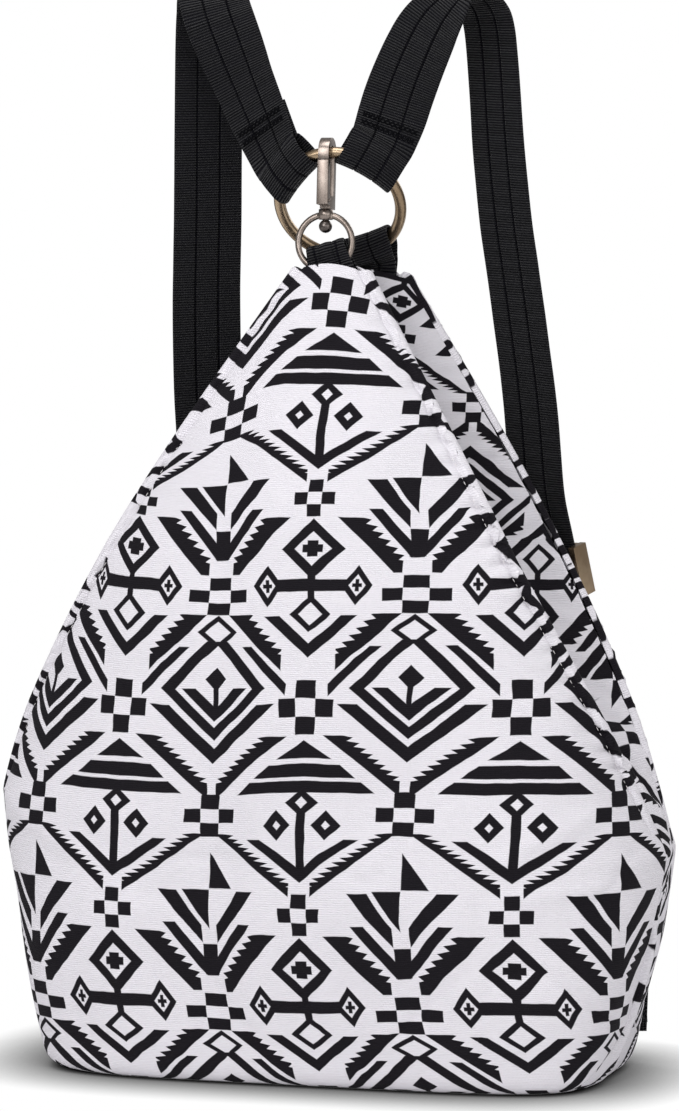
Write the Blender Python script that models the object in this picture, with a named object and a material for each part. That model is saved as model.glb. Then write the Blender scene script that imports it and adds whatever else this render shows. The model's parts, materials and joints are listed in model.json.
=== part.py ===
"""Convertible canvas backpack.

A printed canvas body narrows upwards to a front and a rear horn. A swivel snap hook on the front horn is
clipped over a large ring that the rear horn holds. Two webbing shoulder straps loop up from that ring and run
down behind the body, through sliders, to square rings at the lower rear corners.

The frame: origin at the middle of the base on the floor, +Z up, the front faces -Y, the right side is +X.
Lengths are in metres.
"""

import math

import bmesh
import bpy
from mathutils import Matrix, Vector

# Canvas body
BASE_WIDTH = 0.262
BASE_DEPTH = 0.126
BASE_ROLL = 0.007  # radius of the rolled edge between the base and the walls
BELLY_WIDTH = 0.3145
BELLY_DEPTH = 0.150
BELLY_HEIGHT = 0.118  # height of the deepest section
BELLY_HEIGHTS = {-1: 0.125, 1: 0.107}  # where the left and the right side stand out furthest
SHOULDER_CURVE = 1.18  # how the width falls from the belly to the horns; 1 is straight
RIDGE_SPREAD = 0.075  # front ridge to rear ridge where they are furthest apart
RIDGE_HEIGHT = 0.248  # height at which that is
SIDE_SEAM_HEIGHT = 0.098  # height above which the front and rear seams draw apart
SIDE_SEAM_SPREAD = 0.010  # distance between them there
CORNER_HEIGHT = 0.038  # height of the boxed corner, where they also draw apart
BASE_SEAM_SPREAD = 0.086  # distance between them at the base
VALLEY_HEIGHT = 0.245  # lowest point of the mouth between the horns
HORN_HEIGHT = 0.377  # top of the front horn
REAR_HORN_DROP = 0.006
HORN_WIDTHS = {"front": 0.0335, "rear": 0.0375}
HORN_THICKNESS = 0.0098
HORN_DEPTHS = {"front": 0.0145, "rear": 0.0225}  # middle of each horn from the middle plane
HORN_SHIFTS = {"front": 0.001, "rear": 0.007}  # sideways lean of each horn at its top
HORN_ARC = 0.005  # rise of a horn's top edge in its middle
CANVAS = 0.0014  # canvas thickness
SEAM_RISE = 0.0011  # extra thickness of the topstitched seam band
SEAM_BAND = 0.0055  # its width
SEAM_GAP = 0.0006  # half the clearance between two panels
SEAM_FLANGE = 0.0012  # how far the band stands past the ridge
GAP = 0.0003  # clearance between pieces that touch
RUNNING_FIT = 0.00008  # of a pin or shank in its bore

# Mouth zip
ZIP_OPENING = 0.0058  # half the width between the canvas edges
ZIP_TURN = 0.005  # radius of its turn at the bottom of the valley
COIL_GAP = 0.0005  # half the groove between the two sides' coils
COIL_WIDTH = 0.0013  # of one side's coil
COIL_THICKNESS = 0.0022
TAPE_THICKNESS = 0.0008
ZIP_END_DROP = 0.013  # from a horn's top to the end of the coils
ZIP_BODY_LENGTH = 0.0095
ZIP_BODY_WIDTH = 0.0080
ZIP_BODY_THICKNESS = 0.0050
PULL_LENGTH = 0.017
PULL_WIDTH = 0.0050
PULL_THICKNESS = 0.0010

# Webbing
WEBBING_WIDTH = 0.032
WEBBING = 0.0016  # webbing thickness
TAB_WIDTH = 0.0235  # the front tab is narrower webbing
TAB_FOLD_WIDTH = 0.0186  # where it is bunched inside the hook's eye
TURN_STEPS = 6

# Large ring
RING_RADIUS = 0.02835  # to the middle of its wire
RING_WIRE = 0.00265  # radius of the wire
RING_LEAN = math.radians(27)
RING_YAW = math.radians(5.3)
TAB_TO_RING = Vector((-0.0018, -0.003, 0.011))  # from the rear horn's top to the ring's chord at the tab
TAB_ANGLE = math.radians(160)  # where the rear tab holds the ring, from its top
HOOK_ANGLE = math.radians(-7.3)  # where the hook holds it
STRAP_ANGLES = {"left": math.radians(-52), "right": math.radians(35)}
STRAP_LOOP_WIDTH = 0.029  # a strap is bunched a little on the ring
TAB_LOOP_WIDTH = 0.031
STRAP_TILT = math.radians(30)  # of the straps behind the ring's plane

# Swivel snap hook
EYE_RADIUS = 0.0128  # to the middle of the wire
EYE_WIRE = 0.0015
BOSS_RADIUS = 0.0033
BOSS_LENGTH = 0.0047
STUD_RADIUS = 0.0015
STUD_HEAD_RADIUS = 0.0031
HOOK_REACH = 0.0414  # middle of the eye to the wire in the hook's bend
HOOK_WIDTH = 0.0050
HOOK_BEND = 0.0032  # inner radius of the bend
HOOK_THICKNESS = 0.0038
HOOK_BLOCK = 0.0060  # height of the block at the foot of the hook
NOSE_LENGTH = 0.0034  # from the middle of the bend down to the tip of the nose
GATE_WIDTH = 0.0054
GATE_WALL = 0.0011
PIN_RADIUS = 0.0008
TONGUE_WIDTH = 0.0024
TONGUE_RADIUS = 0.00175
EYE_TO_HORN = Vector((-0.004, 0.0018, 0.009))  # from the front horn's top to the middle of the eye

# Shoulder straps and their lower fittings. The arch is given from the ring's middle, the fall from the floor.
ARCH_POINTS = {
    "left": (
        (-0.0467, 0.0018, 0.0560),
        (-0.0541, 0.0028, 0.0724),
        (-0.0601, 0.0048, 0.0854),
        (-0.0651, 0.0118, 0.0934),
        (-0.0681, 0.0198, 0.0864),
        (-0.0696, 0.0228, 0.0684),
    ),
    "right": (
        (0.0278, 0.0018, 0.0513),
        (0.0361, 0.0038, 0.0719),
        (0.0449, 0.0053, 0.0874),
        (0.0554, 0.0108, 0.0964),
        (0.0629, 0.0188, 0.0894),
        (0.0659, 0.0218, 0.0704),
    ),
}
FALL_POINTS = ((0.0665, 0.0320, 0.430), (0.0695, 0.0365, 0.390), (0.0735, 0.0430, 0.350), (0.0770, 0.0520, 0.305))
LEFT_FALL = 0.0058  # how much further out the left strap hangs at the top of its fall
SLIDER_HEIGHT_UP = 0.228  # height of the slider's middle bar
STRAIGHT_TOP = 0.264  # the run behind the body is straight between these heights
STRAIGHT_BOTTOM = 0.150
STRAP_TOP_X = 0.0794
STRAP_FOOT_X = 0.1140
STRAP_TWIST = math.radians(24)  # of a rear run, about the vertical
STRAP_ROOM = 0.0165  # from the rear panel to the middle of the straight run
SLIDER_LENGTH = 0.024
SLIDER_RAIL = 0.0035
SLIDER_BAR = 0.0030
SLIDER_MIDDLE = 0.0013  # radius of the middle bar
SLIDER_SINK = 0.0043  # how far the middle bar is behind the strap
SQUARE_WIRE = 0.00175
SQUARE_OPENING = 0.0100  # inner height of a square ring
SQUARE_RING_HEIGHT = 0.046
SQUARE_ROOM = 0.0052  # from the rear panel to the middle of a square ring's bar
STUB_FOOT = 0.013  # height of a stub's lower end
STUB_ROOM = 0.0012  # from the rear panel to the stub's nearer layer

COLOURS = {
    "canvas": ((0.80, 0.78, 0.79), 0.85, 0.0),
    "webbing": ((0.012, 0.012, 0.014), 0.55, 0.0),
    "zip": ((0.02, 0.02, 0.02), 0.6, 0.0),
    "antique_brass": ((0.36, 0.26, 0.13), 0.32, 1.0),
    "gunmetal": ((0.20, 0.17, 0.15), 0.35, 1.0),
    "spring_steel": ((0.45, 0.45, 0.47), 0.3, 1.0),
}

SIDES = {"left": -1, "right": 1}
UP = Vector((0, 0, 1))


# Scene helpers


def clear_scene():
    """Remove every object, so that the script can be run again."""
    for item in list(bpy.data.objects):
        bpy.data.objects.remove(item, do_unlink=True)


def make_materials():
    """One Principled material for each finish."""
    for name, (colour, roughness, metallic) in COLOURS.items():
        finish = bpy.data.materials.new(name)
        finish.use_nodes = True
        shader = finish.node_tree.nodes["Principled BSDF"]
        shader.inputs["Base Color"].default_value = (*colour, 1)
        shader.inputs["Roughness"].default_value = roughness
        shader.inputs["Metallic"].default_value = metallic
        finish.diffuse_color = (*colour, 1)


def add_object(name, bm, finish, smooth_angle=40):
    """Turn a bmesh into a named object with a finish."""
    mesh = bpy.data.meshes.new(name)
    bm.to_mesh(mesh)
    bm.free()
    mesh.shade_smooth()
    mesh.set_sharp_from_angle(angle=math.radians(smooth_angle))
    mesh.materials.append(bpy.data.materials[finish])
    item = bpy.data.objects.new(name, mesh)
    bpy.context.scene.collection.objects.link(item)
    return item


def hide_helper(item):
    """Keep a cutter or an added shape out of the model."""
    item.hide_render = True
    item.display_type = "WIRE"
    item.hide_set(True)


def combine(target, other, operation):
    """Join or cut a solid with a helper solid."""
    modifier = target.modifiers.new(other.name, "BOOLEAN")
    modifier.operation = operation
    modifier.object = other
    modifier.solver = "EXACT"
    hide_helper(other)


def bevel_edges(item, width, segments=1):
    """Round the sharp edges of a solid."""
    modifier = item.modifiers.new("rounded edges", "BEVEL")
    modifier.width = width
    modifier.segments = segments
    modifier.limit_method = "ANGLE"
    modifier.angle_limit = math.radians(35)


# Shape helpers


def ease(value):
    """Smooth step from 0 to 1."""
    value = min(1.0, max(0.0, value))
    return value * value * (3 - 2 * value)


def through(points, steps):
    """Points of a smooth curve through the given points, several for each span."""
    ends = [points[0] * 2 - points[1]] + list(points) + [points[-1] * 2 - points[-2]]
    curve = []
    for a, b, c, d in zip(ends, ends[1:], ends[2:], ends[3:]):
        for step in range(steps):
            t = step / steps
            curve.append(
                (b * 2 + (c - a) * t + (a * 2 - b * 5 + c * 4 - d) * t**2 + (b * 3 - a - c * 3 + d) * t**3) / 2
            )
    curve.append(points[-1].copy())
    return curve


def ribbon(name, path, acrosses, widths, thickness, finish):
    """A flat strip along a path. Each station has a direction across it and a width."""
    bm = bmesh.new()
    rings = []
    for index, (point, across, width) in enumerate(zip(path, acrosses, widths)):
        along = (path[min(index + 1, len(path) - 1)] - path[max(index - 1, 0)]).normalized()
        across = (across - along * across.dot(along)).normalized()
        face = across.cross(along)
        corners = ((-1, -1), (1, -1), (1, 1), (-1, 1))
        rings.append(
            [bm.verts.new(point + across * (i * width / 2) + face * (j * thickness / 2)) for i, j in corners]
        )
    for first, second in zip(rings, rings[1:]):
        for corner in range(4):
            after = (corner + 1) % 4
            bm.faces.new((first[corner], first[after], second[after], second[corner]))
    bm.faces.new(rings[0][::-1])
    bm.faces.new(rings[-1])
    bmesh.ops.recalc_face_normals(bm, faces=bm.faces)
    return add_object(name, bm, finish)


def extruded(name, outline, width, place, finish):
    """A solid with the given (y, z) outline, centred across X, put in place by a matrix."""
    bm = bmesh.new()
    face = bm.faces.new([bm.verts.new((-width / 2, y, z)) for y, z in outline])
    moved = bmesh.ops.extrude_face_region(bm, geom=[face])["geom"]
    bmesh.ops.translate(bm, vec=(width, 0, 0), verts=[v for v in moved if isinstance(v, bmesh.types.BMVert)])
    bmesh.ops.recalc_face_normals(bm, faces=bm.faces)
    bmesh.ops.transform(bm, matrix=place, verts=bm.verts)
    return add_object(name, bm, finish)


def block(name, low, high, place, finish):
    """A box between two corners, put in place by a matrix."""
    outline = [(low[1], low[2]), (high[1], low[2]), (high[1], high[2]), (low[1], high[2])]
    centred = Matrix.Translation(((low[0] + high[0]) / 2, 0, 0))
    return extruded(name, outline, high[0] - low[0], place @ centred, finish)


def cylinder(name, start, end, radius, finish, segments=16):
    """A round bar between two points."""
    bm = bmesh.new()
    bmesh.ops.create_cone(
        bm, cap_ends=True, segments=segments, radius1=radius, radius2=radius, depth=(end - start).length
    )
    turn = UP.rotation_difference(end - start).to_matrix().to_4x4()
    bmesh.ops.transform(bm, matrix=Matrix.Translation((start + end) / 2) @ turn, verts=bm.verts)
    return add_object(name, bm, finish)


def torus(name, centre, axes, radius, wire, finish, segments=40, sides=8):
    """A round ring in the plane of two axes."""
    first, second = axes
    normal = first.cross(second)
    bm = bmesh.new()
    rings = []
    for i in range(segments):
        turn = math.tau * i / segments
        out = first * math.cos(turn) + second * math.sin(turn)
        angles = [math.tau * j / sides for j in range(sides)]
        rings.append(
            [bm.verts.new(centre + out * (radius + wire * math.cos(a)) + normal * wire * math.sin(a)) for a in angles]
        )
    for i, ring in enumerate(rings):
        after = rings[(i + 1) % segments]
        for j in range(sides):
            k = (j + 1) % sides
            bm.faces.new((ring[j], ring[k], after[k], after[j]))
    bmesh.ops.recalc_face_normals(bm, faces=bm.faces)
    return add_object(name, bm, finish)


def wire_loop(name, points, radius, finish):
    """A closed loop of round wire through the points."""
    curve = bpy.data.curves.new(name, "CURVE")
    curve.dimensions = "3D"
    curve.bevel_depth = radius
    curve.bevel_resolution = 3
    spline = curve.splines.new("POLY")
    spline.points.add(len(points) - 1)
    for target, point in zip(spline.points, points):
        target.co = (*point, 1)
    spline.use_cyclic_u = True
    curve.materials.append(bpy.data.materials[finish])
    item = bpy.data.objects.new(name, curve)
    bpy.context.scene.collection.objects.link(item)
    return item


def frame_matrix(origin, x_axis, y_axis, z_axis):
    """Matrix that carries local axes to the given ones."""
    turn = Matrix((x_axis, y_axis, z_axis)).transposed().to_4x4()
    return Matrix.Translation(origin) @ turn


# The body's shape


def horn_top(side):
    """Height of a horn's top edge."""
    return HORN_HEIGHT - (REAR_HORN_DROP if side == "rear" else 0)


def share(z, low, high):
    """How far a height is from one height to another, 0 to 1."""
    return min(1.0, max(0.0, (z - low) / (high - low)))


def foldedness(z):
    """0 where the sides are plain walls, 1 where they are folded inwards."""
    return ease(share(z, BELLY_HEIGHT, BELLY_HEIGHT + 0.4 * (VALLEY_HEIGHT - BELLY_HEIGHT)))


def squareness(z, side):
    """Exponent of the section's superellipse: square at the base and at a horn, rounder between."""
    return 2.5 + 2.0 * (1 - ease(z / BELLY_HEIGHT)) + 1.5 * share(z, VALLEY_HEIGHT, horn_top(side)) ** 3


def half_depth(z, side):
    """Distance of the middle of the front or rear panel from the middle plane."""
    if z < BELLY_HEIGHT:
        swell = 1 - (1 - z / BELLY_HEIGHT) ** 1.5
        return (BASE_DEPTH + (BELLY_DEPTH - BASE_DEPTH) * swell) / 2
    horn = HORN_DEPTHS[side] + HORN_THICKNESS / 2
    return BELLY_DEPTH / 2 + (horn - BELLY_DEPTH / 2) * share(z, BELLY_HEIGHT, horn_top(side)) ** 2.4


def seam_depth(z, side):
    """Distance of the seam or ridge at a panel's edge from the middle plane."""
    if z > RIDGE_HEIGHT:
        fall = share(z, RIDGE_HEIGHT, horn_top(side)) ** 1.5
        return RIDGE_SPREAD / 2 + (HORN_DEPTHS[side] - RIDGE_SPREAD / 2) * fall
    opened = RIDGE_SPREAD / 2 * (1 - (1 - share(z, SIDE_SEAM_HEIGHT, RIDGE_HEIGHT)) ** 1.6)
    corner = BASE_SEAM_SPREAD / 2 * math.cos(math.pi / 2 * share(z, 0, CORNER_HEIGHT)) ** 2
    return math.hypot(opened + corner, SIDE_SEAM_SPREAD / 2)


def girth(z, side, hand):
    """Width of one half of the section at a height."""
    belly = BELLY_HEIGHTS[hand]
    if z < belly:
        swell = 1 - (1 - z / belly) ** 1.2
        return (BASE_WIDTH + (BELLY_WIDTH - BASE_WIDTH) * swell) / 2
    left = 1 - share(z, belly, horn_top(side)) ** SHOULDER_CURVE
    return (HORN_WIDTHS[side] + (BELLY_WIDTH - HORN_WIDTHS[side]) * left) / 2


def lean(z, side):
    """Sideways shift of the section towards its horn."""
    return HORN_SHIFTS[side] * share(z, VALLEY_HEIGHT, horn_top(side))


def section(z, side, hand, inset=0.0):
    """The superellipse that a panel follows at a height: half width, half depth, exponent and seam angle."""
    power = squareness(z, side)
    deep = half_depth(z, side) - inset
    seam = min(seam_depth(z, side), 0.9 * deep)
    chord = (1 - (seam / deep) ** power) ** (1 / power)
    edge = (girth(z, side, hand) - inset) * (chord + (1 - chord) * foldedness(z))
    return edge / chord, deep, power, math.atan2(chord, seam / deep)


def oval_point(wide, deep, power, angle):
    """Point of a superellipse at an angle from the panel's middle."""
    across, out = math.sin(angle), math.cos(angle)
    size = (abs(across) ** power + abs(out) ** power) ** (1 / power)
    return wide * across / size, deep * out / size


def panel_point(side, u, z, inset=0.0):
    """Inner surface of the front or rear panel, u from -1 to 1 between its two seams."""
    wide, deep, power, seam = section(z, side, 1 if u > 0 else -1, inset)
    across, out = oval_point(wide, deep, power, u * seam)
    sign = -1 if side == "front" else 1
    return Vector((across + lean(z, side), sign * out, z))


def rear_surface(x, z, away=0.0):
    """Point at a distance outside the rear panel's outer surface."""
    hand = 1 if x > 0 else -1

    def skin(px, pz):
        wide, deep, power, _ = section(pz, "rear", hand)
        reach = min(0.999, abs(px - lean(pz, "rear")) / wide)
        return Vector((px, deep * (1 - reach**power) ** (1 / power), pz))

    here = skin(x, z)
    step = 0.004
    along = skin(x + step, z) - skin(x - step, z)
    up = skin(x, z + step) - skin(x, z - step)
    return here + up.cross(along).normalized() * (CANVAS + away)


def zip_line(z, side):
    """Distance of the zip from the middle plane, in the leg that climbs to a horn."""
    above = z - VALLEY_HEIGHT
    if above <= 0:
        return 0.0
    if above < ZIP_TURN:
        return math.sqrt(ZIP_TURN**2 - (ZIP_TURN - above) ** 2)
    top = HORN_DEPTHS[side] - HORN_THICKNESS / 2
    leg = horn_top(side) - VALLEY_HEIGHT - ZIP_TURN
    return ZIP_TURN + (top - ZIP_TURN) * (above - ZIP_TURN) / leg


def crease(z, side, hand):
    """Distance of the side's inward fold, or of the canvas edge along the zip, from the middle."""
    if z > VALLEY_HEIGHT:
        closing = ease(share(z, horn_top(side) - ZIP_END_DROP + 0.005, horn_top(side) - 0.003))
        return ZIP_OPENING + (GAP / 2 - ZIP_OPENING) * closing
    folded = share(z, BELLY_HEIGHT, VALLEY_HEIGHT)
    open_width = (girth(z, "front", hand) + girth(z, "rear", hand)) / 2
    return ZIP_OPENING + (open_width - ZIP_OPENING) * (1 - folded**1.5)


def side_point(hand, u, heights, inset=0.0):
    """Inner surface of a side panel: u from -1 at the front seam through 0 at the fold to 1 at the rear seam."""
    side = "front" if u < 0 else "rear"
    z = heights[side]
    sign = -1 if side == "front" else 1
    wide, deep, power, seam = section(z, side, hand, inset)
    reach = abs(u)
    halves = [section(heights[name], name, hand, inset)[0] for name in ("front", "rear")]
    across, out = oval_point(wide, deep, power, seam + (math.pi / 2 - seam) * (1 - reach))
    across += (sum(halves) / 2 - wide) * (1 - reach)
    edge, edge_out = oval_point(wide, deep, power, seam)
    closed = share(z, VALLEY_HEIGHT, horn_top(side))
    inner = crease(z, side, hand)
    inner_out = zip_line(z, side)
    fold_x = inner + (edge - inner) * reach ** (1.25 - 0.25 * closed)
    fold_out = inner_out + (edge_out - inner_out) * reach ** (1 + 3.5 * closed**2)
    across += (fold_x - across) * foldedness(z)
    out += (fold_out - out) * foldedness(z)
    return Vector((hand * across + lean(z, side), sign * out, z))


def row_heights():
    """Rows of the panels from the base up: for each, the inset and the height at the front and rear horns."""
    rows = []
    for turn in (0, 45, 90):
        angle = math.radians(turn)
        z = CANVAS + GAP + BASE_ROLL * (1 - math.cos(angle))
        rows.append((BASE_ROLL * (1 - math.sin(angle)), {"front": z, "rear": z}))
    for z in (0.016, 0.0235, 0.031, 0.039, 0.056, 0.076, 0.095, 0.110, 0.123, 0.136, 0.152, 0.170, 0.190, 0.210, 0.230):
        rows.append((0.0, {"front": z, "rear": z}))
    for part in (0.0, 0.015, 0.045, 0.14, 0.27, 0.42, 0.57, 0.71, 0.83, 0.93, 0.965, 1.0):
        tops = {side: VALLEY_HEIGHT + (horn_top(side) - VALLEY_HEIGHT) * part for side in ("front", "rear")}
        rows.append((0.0, tops))
    return rows


# Folds: each is a ridge of raised cloth between two places on a side panel, (u, height) to (u, height)
SIDE_FOLDS = (
    ((-0.90, 0.150), (-0.30, 0.128), 0.0045, 0.0070),
    ((-0.70, 0.172), (0.10, 0.140), -0.0035, 0.0080),
    ((-0.35, 0.186), (0.45, 0.160), 0.0035, 0.0080),
    ((0.95, 0.158), (0.35, 0.132), 0.0040, 0.0070),
    ((-0.82, 0.262), (-0.62, 0.205), 0.0030, 0.0060),
    ((0.85, 0.250), (0.60, 0.212), 0.0030, 0.0065),
    ((-0.80, 0.062), (-0.55, 0.020), 0.0030, 0.0060),
)


def fold_height(u, z, reach):
    """Height of the raised cloth at a place on a side panel; reach turns u into a length."""
    total = 0.0
    for (u0, z0), (u1, z1), height, width in SIDE_FOLDS:
        run = Vector(((u1 - u0) * reach, z1 - z0))
        away = Vector(((u - u0) * reach, z - z0))
        along = away.dot(run) / run.length_squared
        beyond = max(0.0, -along, along - 1) * run.length
        off = (away - run * along).length
        total += height * math.exp(-((off / width) ** 2) - (beyond / (2 * width)) ** 2)
    return total


def sheet(name, faces, heavy, flipped):
    """A canvas sheet given by faces of points on its inner surface, thickened outwards, more so at heavy points."""
    bm = bmesh.new()
    known = {}
    weights = {}
    for corners in faces:
        loop = []
        for point in corners:
            key = tuple(round(value, 7) for value in point)
            if key not in known:
                known[key] = bm.verts.new(point)
                weights[key] = heavy.get(key, 0.0)
            if known[key] not in loop:
                loop.append(known[key])
        if len(loop) > 2:
            bm.faces.new(loop[::-1] if flipped else loop)
    item = add_object(name, bm, "canvas", 60)
    group = item.vertex_groups.new(name="seam band")
    for index, key in enumerate(known):
        group.add([index], (CANVAS + SEAM_RISE * weights[key]) / (CANVAS + SEAM_RISE), "REPLACE")
    solid = item.modifiers.new("thickness", "SOLIDIFY")
    solid.thickness = CANVAS + SEAM_RISE
    solid.offset = 1
    solid.vertex_group = group.name
    solid.use_even_offset = True
    return item


def measured(curve):
    """Length of a curve from u = 0 to u = 1, and a function that gives the u at a distance along it."""
    points = [curve(step / 24) for step in range(27)]
    lengths = [0.0]
    for first, second in zip(points, points[1:]):
        lengths.append(lengths[-1] + (second - first).length)

    def at(distance):
        index = 0
        while index < 25 and lengths[index + 1] < distance:
            index += 1
        part = (distance - lengths[index]) / (lengths[index + 1] - lengths[index])
        return (index + part) / 24

    return lengths[24], at


def make_wide_panel(side):
    """The front or rear panel, with a raised band along its seams."""
    grid = []
    heavy = {}
    for inset, heights in row_heights():
        z = heights[side]
        arc = HORN_ARC * ease(share(z, VALLEY_HEIGHT, horn_top(side)))
        folded = foldedness(z)
        row = []
        for hand in (-1, 1):
            def curve(u, hand=hand, z=z, inset=inset):
                return panel_point(side, hand * u, z, inset)
            length, at = measured(curve)
            slack = SEAM_GAP * (2 if z < CORNER_HEIGHT + 0.01 else 1)
            last = length - slack * (1 - folded) + SEAM_FLANGE * folded
            ramp = last - SEAM_BAND - SEAM_RISE
            places = [ramp * step / 6 for step in range(7)] + [last - SEAM_BAND, last]
            half = []
            for place in places:
                u = at(place)
                point = curve(u)
                point.z -= arc * u * u
                half.append(point)
            for point in half[-2:]:
                heavy[tuple(round(v, 7) for v in point)] = ease(share(z, 0.110, 0.150))
            row = half[:0:-1] if hand < 0 else row + half
        grid.append(row)
    faces = []
    for low, high in zip(grid, grid[1:]):
        for i in range(len(low) - 1):
            faces.append((low[i], low[i + 1], high[i + 1], high[i]))
    return sheet(f"{side}_panel", faces, heavy, side == "rear")


def make_side_panel(name, hand):
    """A side panel: a plain wall low down, folded inwards higher up, and parted by the zip above the valley."""
    steps = 6
    grid = []
    for inset, heights in row_heights():
        row = {}
        for side, sign in (("front", -1), ("rear", 1)):
            z = heights[side]
            arc = HORN_ARC * ease(share(z, VALLEY_HEIGHT, horn_top(side)))
            folded = foldedness(z)

            def curve(u, sign=sign, heights=heights, inset=inset):
                return side_point(hand, sign * max(u, 1e-6), heights, inset)
            length, at = measured(curve)
            last = length - SEAM_GAP * (2 if z < CORNER_HEIGHT + 0.01 else 1) - 3 * GAP * folded
            points = []
            for step in range(steps + 1):
                u = at(last * step / steps)
                point = curve(u)
                trend = curve(u + 0.02) - curve(max(0.0, u - 0.02))
                outward = Vector((trend.y, -trend.x, 0)).normalized()
                if outward.x * hand < 0:
                    outward = -outward
                if step == 0 and z <= VALLEY_HEIGHT:
                    point.y = 0
                    outward = Vector((hand, 0, 0))
                point += outward * ease((1 - u) / 0.15) * fold_height(sign * u, z, length)
                point.z -= arc * u * u
                points.append(point)
            row[side] = points
        grid.append(row)
    faces = []
    for low, high in zip(grid, grid[1:]):
        for side in ("front", "rear"):
            for i in range(steps):
                corners = (low[side][i], low[side][i + 1], high[side][i + 1], high[side][i])
                faces.append(corners if side == "rear" else corners[::-1])
    return sheet(name, faces, {}, hand < 0)


def make_base_panel():
    """The flat bottom, inside the rolled edge of the walls."""
    outline = []
    inset = BASE_ROLL + 3 * GAP
    z = CANVAS + GAP
    for side, sign in (("front", -1), ("rear", 1)):
        for step in range(-12, 12):
            hand = -1 if (step < 0) == (side == "front") else 1
            wide, deep, power, _ = section(z, side, hand, inset)
            across, out = oval_point(wide, deep, power, math.pi / 2 * step / 12)
            outline.append(Vector((-sign * across, sign * out, 0)))
    bm = bmesh.new()
    face = bm.faces.new([bm.verts.new(point) for point in outline])
    moved = bmesh.ops.extrude_face_region(bm, geom=[face])["geom"]
    bmesh.ops.translate(bm, vec=(0, 0, CANVAS + GAP), verts=[v for v in moved if isinstance(v, bmesh.types.BMVert)])
    bmesh.ops.recalc_face_normals(bm, faces=bm.faces)
    return add_object("base_panel", bm, "canvas")


def horn_middle(side):
    """Middle of a horn's top."""
    return Vector((HORN_SHIFTS[side], HORN_DEPTHS[side] * (-1 if side == "front" else 1), horn_top(side)))


def set_origin(item, point):
    """Put the origin of a moving piece on its joint."""
    item.data.transform(Matrix.Translation(-point))
    item.location = point


# Large ring


def ring_axes():
    """The ring's directions across, up and forwards."""
    ahead = Vector((math.sin(RING_YAW), -math.cos(RING_YAW), 0))
    across = Vector((math.cos(RING_YAW), math.sin(RING_YAW), 0))
    up = UP * math.cos(RING_LEAN) + ahead * math.sin(RING_LEAN)
    return across, up, across.cross(up)


def ring_out(angle):
    """Direction from the ring's middle at an angle from its top."""
    across, up, _ = ring_axes()
    return across * math.sin(angle) + up * math.cos(angle)


def chord_reach(width):
    """Distance from the ring's middle to the chord under webbing of a width."""
    return math.sqrt(RING_RADIUS**2 - (width / 2) ** 2)


def ring_centre():
    """Middle of the ring, set by where the rear tab holds it."""
    return horn_middle("rear") + TAB_TO_RING - ring_out(TAB_ANGLE) * chord_reach(TAB_LOOP_WIDTH)


def make_large_ring():
    across, up, _ = ring_axes()
    ring = torus("large_ring", ring_centre(), (across, up), RING_RADIUS, RING_WIRE, "antique_brass", 60, 10)
    set_origin(ring, ring_centre())


# Webbing


def webbing(name, stations, columns=4):
    """A webbing strip. Each station is a centre, a direction across, a width and the bulge of its middle."""
    bm = bmesh.new()
    rows = []
    for centre, across, width, bulge in stations:
        places = [2 * column / columns - 1 for column in range(columns + 1)]
        spots = [centre + across * (t * width / 2) + bulge * (1 - t * t) for t in places]
        rows.append([bm.verts.new(spot) for spot in spots])
    for first, second in zip(rows, rows[1:]):
        for i in range(columns):
            bm.faces.new((first[i], first[i + 1], second[i + 1], second[i]))
    item = add_object(name, bm, "webbing", 50)
    solid = item.modifiers.new("thickness", "SOLIDIFY")
    solid.thickness = WEBBING
    solid.offset = 0
    return item


def looped(path, acrosses, widths, bulge, radius, fade, returned):
    """Stations of webbing that comes back on itself round a bar at the path's start.

    The path runs midway between the two layers. The bulge lets the webbing follow a curved bar, and both it and
    the distance between the layers fade between two distances from the bar. The returned layer is that many
    stations long.
    """
    layer = (WEBBING + GAP) / 2
    front, back = [], []
    run = 0.0
    for index, point in enumerate(path):
        ahead = path[min(index + 1, len(path) - 1)] - path[max(index - 1, 0)]
        across = acrosses[index] - ahead * (acrosses[index].dot(ahead) / ahead.length_squared)
        across.normalize()
        face = across.cross(ahead).normalized()
        if index:
            run += (point - path[index - 1]).length
        near = 1 - ease((run - fade[0]) / (fade[1] - fade[0]))
        offset = face * (layer + (radius - layer) * near)
        front.append((point + offset, across, widths[index], bulge * near))
        back.append((point - offset, across, widths[index], bulge * near))
    ahead = (path[1] - path[0]).normalized()
    across = front[0][1]
    face = across.cross(ahead)
    turn = []
    for step in range(1, TURN_STEPS):
        angle = math.pi * step / TURN_STEPS
        spot = path[0] - face * (radius * math.cos(angle)) - ahead * (radius * math.sin(angle))
        turn.append((spot, across, widths[0], bulge))
    return back[:returned][::-1] + turn + front


def ring_loop(angle, tilt, width):
    """Where webbing loops round the ring: the chord's middle, directions across and away, and the bulge."""
    _, _, ahead = ring_axes()
    out = ring_out(angle)
    across = ring_out(angle + math.pi / 2)
    if across.x < 0:
        across = -across
    away = out * math.cos(tilt) - ahead * math.sin(tilt)
    reach = chord_reach(width)
    return ring_centre() + out * reach, across, away, out * (RING_RADIUS - reach)


def ring_wrap(width):
    """Radius of webbing of a width round the ring, which crosses its edges at a slant."""
    return wrap_radius(RING_WIRE * RING_RADIUS / chord_reach(width)) + 0.5 * GAP


def wrap_radius(wire):
    """Radius of the middle of webbing that wraps a wire."""
    return wire + GAP + WEBBING / 2


def blend_across(first, second, part):
    """A direction between two others."""
    return (first * (1 - part) + second * part).normalized()


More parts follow.
